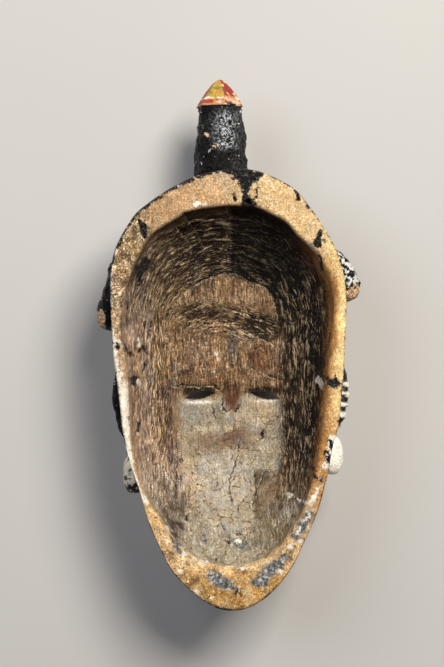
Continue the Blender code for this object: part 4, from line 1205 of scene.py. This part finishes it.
# Finial: a lumpy black post and a faceted cap painted yellow and red, in metres; the post's radius and middle
# follow the photograph at some heights, and its chips are (x, y, radius)
finial = {
    "across": -0.0108, "forward": 0.055, "start": 0.126, "end": 0.227, "tip": 0.254, "capHalf": 0.0243,
    "turned": math.radians(16), "overlap": 0.0015,
    "heights": (0.126, 0.164, 0.1796, 0.1961, 0.2129, 0.2232, 0.2285),
    "radii": (0.0268, 0.0266, 0.0258, 0.0254, 0.0227, 0.0222, 0.0220),
    "middles": (-0.0099, -0.0099, -0.0100, -0.0097, -0.0102, -0.0106, -0.0108),
    # the rubbed grey band down the post's back is a painted highlight as well as wear
    "rubbedSheenAcross": -0.0055, "rubbedSheenWidth": 0.0095, "rubbedSheenFrom": (0.180, 0.190), "rubbedSheenTo": (0.226, 0.214),
    "chips": ((-0.0240, 0.1992, 0.0018), (-0.0222, 0.1972, 0.0015), (-0.0170, 0.1872, 0.0013),
              (-0.0146, 0.1862, 0.0012), (-0.0124, 0.1878, 0.0012)),
}


def buildPost():
    # a round tube, rubbed grey where it faces the back: wear, and a painted highlight
    y = np.linspace(finial["start"], finial["end"] + finial["overlap"], 150)
    radius, across = (np.interp(y, finial["heights"], finial[name]) for name in ("radii", "middles"))

    def wear(points):
        x, up, high = points[:, 0], points[:, 1], points[:, 2] - (body["depth"] - finial["forward"])
        ragged = 1 + 1.2 * lumps(points, 0.003, 55)
        chips = sum(np.exp(-((x - a) ** 2 + (up - b) ** 2) / c**2) for a, b, c in finial["chips"])
        bare = chips * (high > 0) * ragged * 0.85 + 0.9 * smooth(lumps(points, 0.012, 53), 0.42, 0.6) * (high < 0)
        # a painted highlight with wear: rubbed grey down the side facing the back and faintly to its right; rubbed at
        # random underneath
        rubbed = 1.1 * np.exp(-((x - finial["rubbedSheenAcross"]) / finial["rubbedSheenWidth"]) ** 2)
        rubbed = rubbed * smooth(up, *finial["rubbedSheenFrom"]) * smooth(up, *finial["rubbedSheenTo"])
        rubbed = (rubbed + 0.12 * np.exp(-((x - 0.006) / 0.005) ** 2)) * (high > 0)
        rubbed += 0.5 * smooth(lumps(points, 0.02, 54), 0.1, 0.5) * (high < 0)
        return {"wornAndSheen": wornAndSheen(np.clip(bare, 0, 1), np.clip(rubbed, 0, 1))}

    return closedTube("finialPost", centreLine(across, y, finial["forward"]), radius, radius,
                      blackCrust("black crust paint on the post", 0.01), wear, 176, 0.0026, 0.008, 51)


def buildCap():
    # six facets that bulge and draw in to a point; the radius is that of a hexagon in each direction
    along = np.minimum(np.concatenate([[-0.10, -0.06, -0.02], np.linspace(0, 1, 60) ** 1.15]), 0.9995)
    radius = np.where(along < 0, 0.80 + (along + 0.10) / 0.10 * 0.2, (1 - np.clip(along, 0, 1)) ** 0.66)
    radius = finial["capHalf"] * np.clip(radius, 0, 1)
    y = finial["end"] + (finial["tip"] - finial["end"]) * along

    def hexagon(angle):
        return np.cos(math.pi / 6) / np.cos(np.mod(angle - finial["turned"], math.pi / 3) - math.pi / 6)

    def colours(points):
        x, h = points[:, 0] - finial["across"], points[:, 2] - (body["depth"] - finial["forward"])
        up = (points[:, 1] - finial["end"]) / (finial["tip"] - finial["end"])
        facet = np.floor(np.mod(np.arctan2(h, x) - finial["turned"], 2 * math.pi) / (math.pi / 3))
        noise, brush = lumps(points, 0.005, 61), lumps(points * [1.6, 0.7, 1.6], 0.005, 63)
        cream, yellow = (facet % 3 == 0) * 1.0, (facet % 3 == 1) * 1.0
        band = smooth(up + 0.03 * noise, 0.27, 0.18)
        return {"tone": opaque(layered("#b4552a", x, up, (
            ("#8f2c1c", smooth(brush, -0.1, 0.1)),
            ("#c98c5c", cream),
            ("#8e2a1b", cream * smooth(brush, -0.15, 0.0) * smooth(up, 0.25, 0.4)),
            ("#dcc7a8", cream * smooth(-brush, 0.12, 0.25)),
            ("#bd9640", yellow),
            ("#7f7733", yellow * smooth(noise, -0.1, 0.4) * smooth(up, 0.25, 0.5)),
            ("#b0713a", yellow * smooth(-noise, 0.1, 0.4) * 0.7),
            ("#b27a50", band),
            ("#93372a", band * smooth(noise + 0.4 * brush, -0.05, 0.15) * smooth(up, 0.05, 0.1)),
            ("#d6b79a", band * smooth(-noise, 0.05, 0.3) * 0.9),
            ("#efe6d6", smooth(np.abs(up - 0.27 - 0.05 * brush), 0.045, 0.02) * smooth(noise, -0.05, 0.15)),
            ("#3a3230", (facet == 0) * smooth(up, 0.16, 0.08) * smooth(noise, -0.2, 0.1) * 0.8),
            ("#0d0908", smooth(up, 0.025, -0.02)),
        )))}

    return closedTube("finialCap", centreLine(finial["across"], y, finial["forward"]), radius, radius,
                      brushedPaint("brushed red and yellow earth paint", 0.5, 0.2), colours, 120, 0.0007, 0.006, 62,
                      shape=hexagon)


# Locks of hair at the temples: photo pixels down their outer edges, (y, x); they hang from the temple as a
# drop does, with a round or broken end
locks = {
    "forward": 0.044, "inset": 0.005,
    -1: {"name": "lockLeft", "word": "left", "whites": 0.02, "edge": [
        (258, 112), (264, 109.5), (272, 107), (282, 104.8), (292, 102), (301, 98.3), (309, 96.4), (318, 96),
        (326, 96.6), (331, 98)]},
    1: {"name": "lockRight", "word": "right", "whites": 0.13, "edge": [
        (248, 338), (253, 343), (260, 348.5), (268, 354.5), (276, 359.5), (284, 361.2), (291, 361), (297, 358.6),
        (302.5, 354)]},
}


def buildLock(side):
    # the outer edge comes from the pixels and the inner edge lies inside the shell; sqrt(1 - t^2) rounds the ends
    look = locks[side]
    py, px = np.array(look["edge"]).T
    edge = toPlan(px, py, locks["forward"])
    start, end = edge[0, 1], edge[-1, 1]
    y = start + (end - start) * (0.5 - 0.5 * np.cos(math.pi * np.linspace(0.015, 0.985, 84)))
    outer = np.interp(-y, -edge[:, 1], side * edge[:, 0])
    inner = sideOfShell(y, locks["forward"]) - locks["inset"]
    down = (start - y) / (start - end)
    ends = np.sqrt(np.clip(1 - np.clip((down - 0.82) / 0.18, 0, 1) ** 2, 0.0004, 1))
    ends = ends * np.sqrt(np.clip(1 - np.clip((0.10 - down) / 0.10, 0, 1) ** 2, 0.01, 1))
    half = np.maximum((outer - inner) / 2, 0.003) * ends
    middle = (outer + inner) / 2 + 0.002 * smooth(down, 0.8, 1.0) - 0.0004
    thick = np.interp(down, [0, 0.3, 0.7, 1], [0.010, 0.015, 0.017, 0.015]) * ends

    def wear(points):
        low = (start - points[:, 1]) / (start - end)
        outside = side * points[:, 0] - sideOfShell(points[:, 1], locks["forward"])
        ragged = 0.25 * lumps(points, 0.005, 73)
        if side < 0:
            bare = smooth(low + ragged, 0.64, 0.80) * smooth(outside + 0.01 * ragged, 0.013, 0.019)
            bare = bare * smooth(low, 1.0, 0.93)
        else:
            bare = smooth(low + 1.3 * ragged, 0.58, 0.78) * smooth(lumps(points, 0.006, 75), -0.65, -0.2)
        return {"wornAndSheen": wornAndSheen(0.9 * bare, 0.5 * smooth(lumps(points, 0.014, 74), 0.0, 0.4))}

    material = blackCrust("black crust paint on the %s lock" % look["word"], look["whites"])
    return closedTube(look["name"], centreLine(side * middle, y, locks["forward"]), half, thick, material, wear,
                      88, 0.0022, 0.007, 70 + side)


# Ears: half-round blades with a rolled outer edge and a hollow on the front; how far they stand out, in
# metres, by photo pixels down. The blade is a row of rings: how far each is drawn in, and how far forward
ears = {
    "root": 0.006, "endForward": 0.048,
    "inset": (0.030, 0.022, 0.014, 0.008, 0.004, 0.0015, 0.0004, 0, 0, 0.0004, 0.0015, 0.003, 0.0045, 0.0065,
              0.010, 0.016, 0.024, 0.030),
    "forward": (0.040, 0.040, 0.040, 0.0402, 0.0410, 0.0425, 0.0440, 0.046, 0.054, 0.0562, 0.0582, 0.0595, 0.0592,
                0.0572, 0.0552, 0.0548, 0.0545, 0.0545),
    -1: {"name": "earLeft", "rows": (364, 372, 382, 400, 420, 436, 445),
         "out": (0.0120, 0.0155, 0.0165, 0.0178, 0.0180, 0.0178, 0.0150)},
    1: {"name": "earRight", "rows": (357, 366, 376, 390, 405, 420, 437),
        "out": (0.0100, 0.0135, 0.0160, 0.0170, 0.0178, 0.0178, 0.0150)},
}


def buildEar(side):
    # rings from the back face's middle out to the edge, over it, and into the hollow of the front
    look = ears[side]
    turn = np.linspace(0, math.pi, 96)[None, :]
    inset, forward = (np.array(ears[name])[:, None] for name in ("inset", "forward"))
    shrink = np.minimum(inset, 0.029)
    top, bottom = (toPlan(0, look["rows"][end], ears["endForward"])[1] for end in (0, -1))
    y = (top + bottom) / 2 + ((top - bottom) / 2 - shrink) * np.cos(turn)
    _, py = toPhoto(np.dstack([0 * y, y, 0 * y + body["depth"] - ears["endForward"]]))
    bulge = np.maximum(np.interp(py, look["rows"], look["out"]) + ears["root"] - shrink, 0.0005)
    x = side * (sideOfShell(y, 0.050) - ears["root"] + np.sin(turn) ** 0.35 * bulge)
    points = np.dstack([x, y, body["depth"] - forward + 0 * x])
    out = points - np.array([side * 0.09, (top + bottom) / 2, body["depth"] - 0.05])
    out /= np.linalg.norm(out, axis=-1, keepdims=True)
    bands, grime = np.zeros(y.shape), lumps(points, 0.006, 92)
    if side > 0:  # white bands 10.5 mm apart
        wave = np.sin(points[..., 1] * 1000 / 10.5 * 2 * math.pi + 3.4 * lumps(points, 0.012, 90) + 1.2)
        bands = smooth(wave + 1.9 * lumps(points, 0.0045, 91), 0.15, 0.5) * smooth(py + 4 * grime, 376, 384)
    rise = 0.0016 * (lumps(points, 0.007, 80 + side) - 0.5) - 0.0012 * (1 - bands) * (side > 0)
    points = points + out * rise[..., None]
    numbers = np.arange(y.size).reshape(y.shape)
    straight = np.stack([numbers[:-1, 0], numbers[:-1, -1], numbers[1:, -1], numbers[1:, 0]], axis=-1)
    faces = quadsOf(numbers).tolist() + straight.tolist() + [numbers[0].tolist(), numbers[-1][::-1].tolist()]
    flat, bands, grime = points.reshape(-1, 3), bands.ravel(), grime.ravel()
    tone = layered("#0c0b0b", bands, grime, (("#4a4c4d", smooth(grime, 0.3, 0.55)), ("#ece7dc", bands)))
    attributes = {"tone": opaque(tone), "wornAndSheen": wornAndSheen(0 * bands, 0.5 * smooth(lumps(flat, 0.012, 93), 0.0, 0.4))}
    if side < 0:
        material = blackCrust("black crust paint on the left ear", 0.02)
    else:
        material = brushedPaint("black and white banded paint", 0.4, 0.1)
    piece = makePiece(look["name"], flat, faces, material, attributes, sharp=50)
    faceOutwards(piece)
    return piece


# Ear ornaments: carved ovals, white, the left one grimed with a black lower tip, in metres
ornaments = {
    "forward": 0.045, "standOut": 0.020, "root": 0.003, "halfDeep": 0.015,
    -1: {"name": "ornamentLeft", "word": "left", "middle": -0.1275, "length": 0.038, "colour": "#fcf1d8",
         "dirty": 0.2},
    1: {"name": "ornamentRight", "word": "right", "middle": -0.110, "length": 0.037, "colour": "#f6f3e8",
        "dirty": 0.1},
}


def buildOrnament(side):
    # ellipses down an oval's length, whose half width is the 0.6th power of a sine
    look = ornaments[side]
    turn = math.pi * np.linspace(0.03, 0.97, 48)
    y = look["middle"] + look["length"] / 2 * np.cos(turn)
    fat = np.sin(turn) ** 0.6
    half = (ornaments["standOut"] + ornaments["root"]) / 2
    x = sideOfShell(np.array(look["middle"]), ornaments["forward"]) + ornaments["standOut"] - half - 0.0005

    def colours(points):
        down = (look["middle"] - points[:, 1]) / (look["length"] / 2)
        noise, small = lumps(points, 0.006, 95 + side), lumps(points, 0.003, 96 + side)
        grimed = (
            ("#b9b29b", smooth(noise, -0.05, 0.3) * 0.5),
            ("#2a2520", smooth(small + 0.4 * noise, 0.30, 0.42)),
            ("#14100d", smooth(down + 0.5 * noise + 0.3 * small, 0.60, 0.75)),
        )
        soiled = (("#cbbfa4", smooth(noise, 0.2, 0.5) * 0.6),)
        return {"tone": opaque(layered(look["colour"], down, noise, grimed if side < 0 else soiled))}

    material = brushedPaint("white kaolin paint on the %s ornament" % look["word"], 0.5, look["dirty"])
    return closedTube(look["name"], centreLine(side * x, y, ornaments["forward"]), half * fat,
                      ornaments["halfDeep"] * fat, material, colours, 72, 0.0012, 0.009, 97 + side)


# Studio: a plain pale floor, a large key lamp from the upper right, a soft box from the upper left, both off
# the camera's line and high enough that little light reaches the floor under the slits, and a dim world
studio = {
    "floor": "#b0afad", "floorWash": "#b8b7b5", "floorHalf": 8.0, "floorDrop": 0.0002,
    "lens": 97.6, "sensor": 36, "world": "#f4f4f6", "worldStrength": 0.04,
    "lamps": {
        "keyLamp": {"direction": (0.42, 0.60, 1.15), "distance": 2.6, "size": 1.0, "watts": 94, "colour": "#fff8ee"},
        "softBox": {"direction": (-0.62, 0.42, 1.10), "distance": 2.6, "size": 1.4, "watts": 27, "colour": "#f4f6ff"},
    },
}


def lamp(name, look):
    data = bpy.data.lights.new(name, "AREA")
    data.energy, data.size, data.color = look["watts"], look["size"], linear(look["colour"])
    made = bpy.data.objects.new(name, data)
    way = Vector(look["direction"]).normalized()
    made.location = way * look["distance"]
    made.rotation_euler = way.to_track_quat("Z", "Y").to_euler()
    bpy.context.collection.objects.link(made)


def buildStudio():
    scene = bpy.context.scene
    made, tree, shader, place = newMaterial("matt pale backdrop paper")
    wash = node(tree, "TexNoise", {"Vector": place, "Scale": 3.0, "Detail": 2.0})
    paper = node(tree, "Mix", {0: wash, 6: rgba(studio["floor"]), 7: rgba(studio["floorWash"])}, **asColour)
    fill(tree, shader, {"Base Color": paper, "Roughness": 0.9})
    size = studio["floorHalf"]
    corners = np.array([(-size, -size, 0), (size, -size, 0), (size, size, 0), (-size, size, 0)], float)
    floor = makePiece("studioFloor", corners - np.array([0, 0, studio["floorDrop"]]), [(0, 1, 2, 3)], made)
    for name, look in studio["lamps"].items():
        lamp(name, look)
    world = bpy.data.worlds.new("paleStudio")
    world.use_nodes = True
    fill(world.node_tree, world.node_tree.nodes["Background"],
         {"Color": rgba(studio["world"]), "Strength": studio["worldStrength"]})
    scene.world = world
    scene.view_settings.view_transform = "Standard"
    camera = bpy.data.objects.new("camera", bpy.data.cameras.new("camera"))
    camera.data.lens, camera.data.sensor_width = studio["lens"], studio["sensor"]
    across, up = photo["shift"]
    camera.location = (across / 1000, up / 1000, body["depth"] + photo["distance"] / 1000)
    bpy.context.collection.objects.link(camera)
    scene.camera = camera


print("shell")
shell, shellValues = buildShell()
print("shell points", len(shell.data.vertices))
pierce(shell, shellValues)
print("pierced", len(shell.data.polygons))
dressed = [shell, buildPost(), buildCap()]
print("finial")
for side in (-1, 1):
    dressed += [buildLock(side), buildEar(side), buildOrnament(side)]
print("locks, ears and ornaments")
for piece in dressed:
    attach(piece, "root")
    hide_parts("mask")
buildStudio()
print("studio")
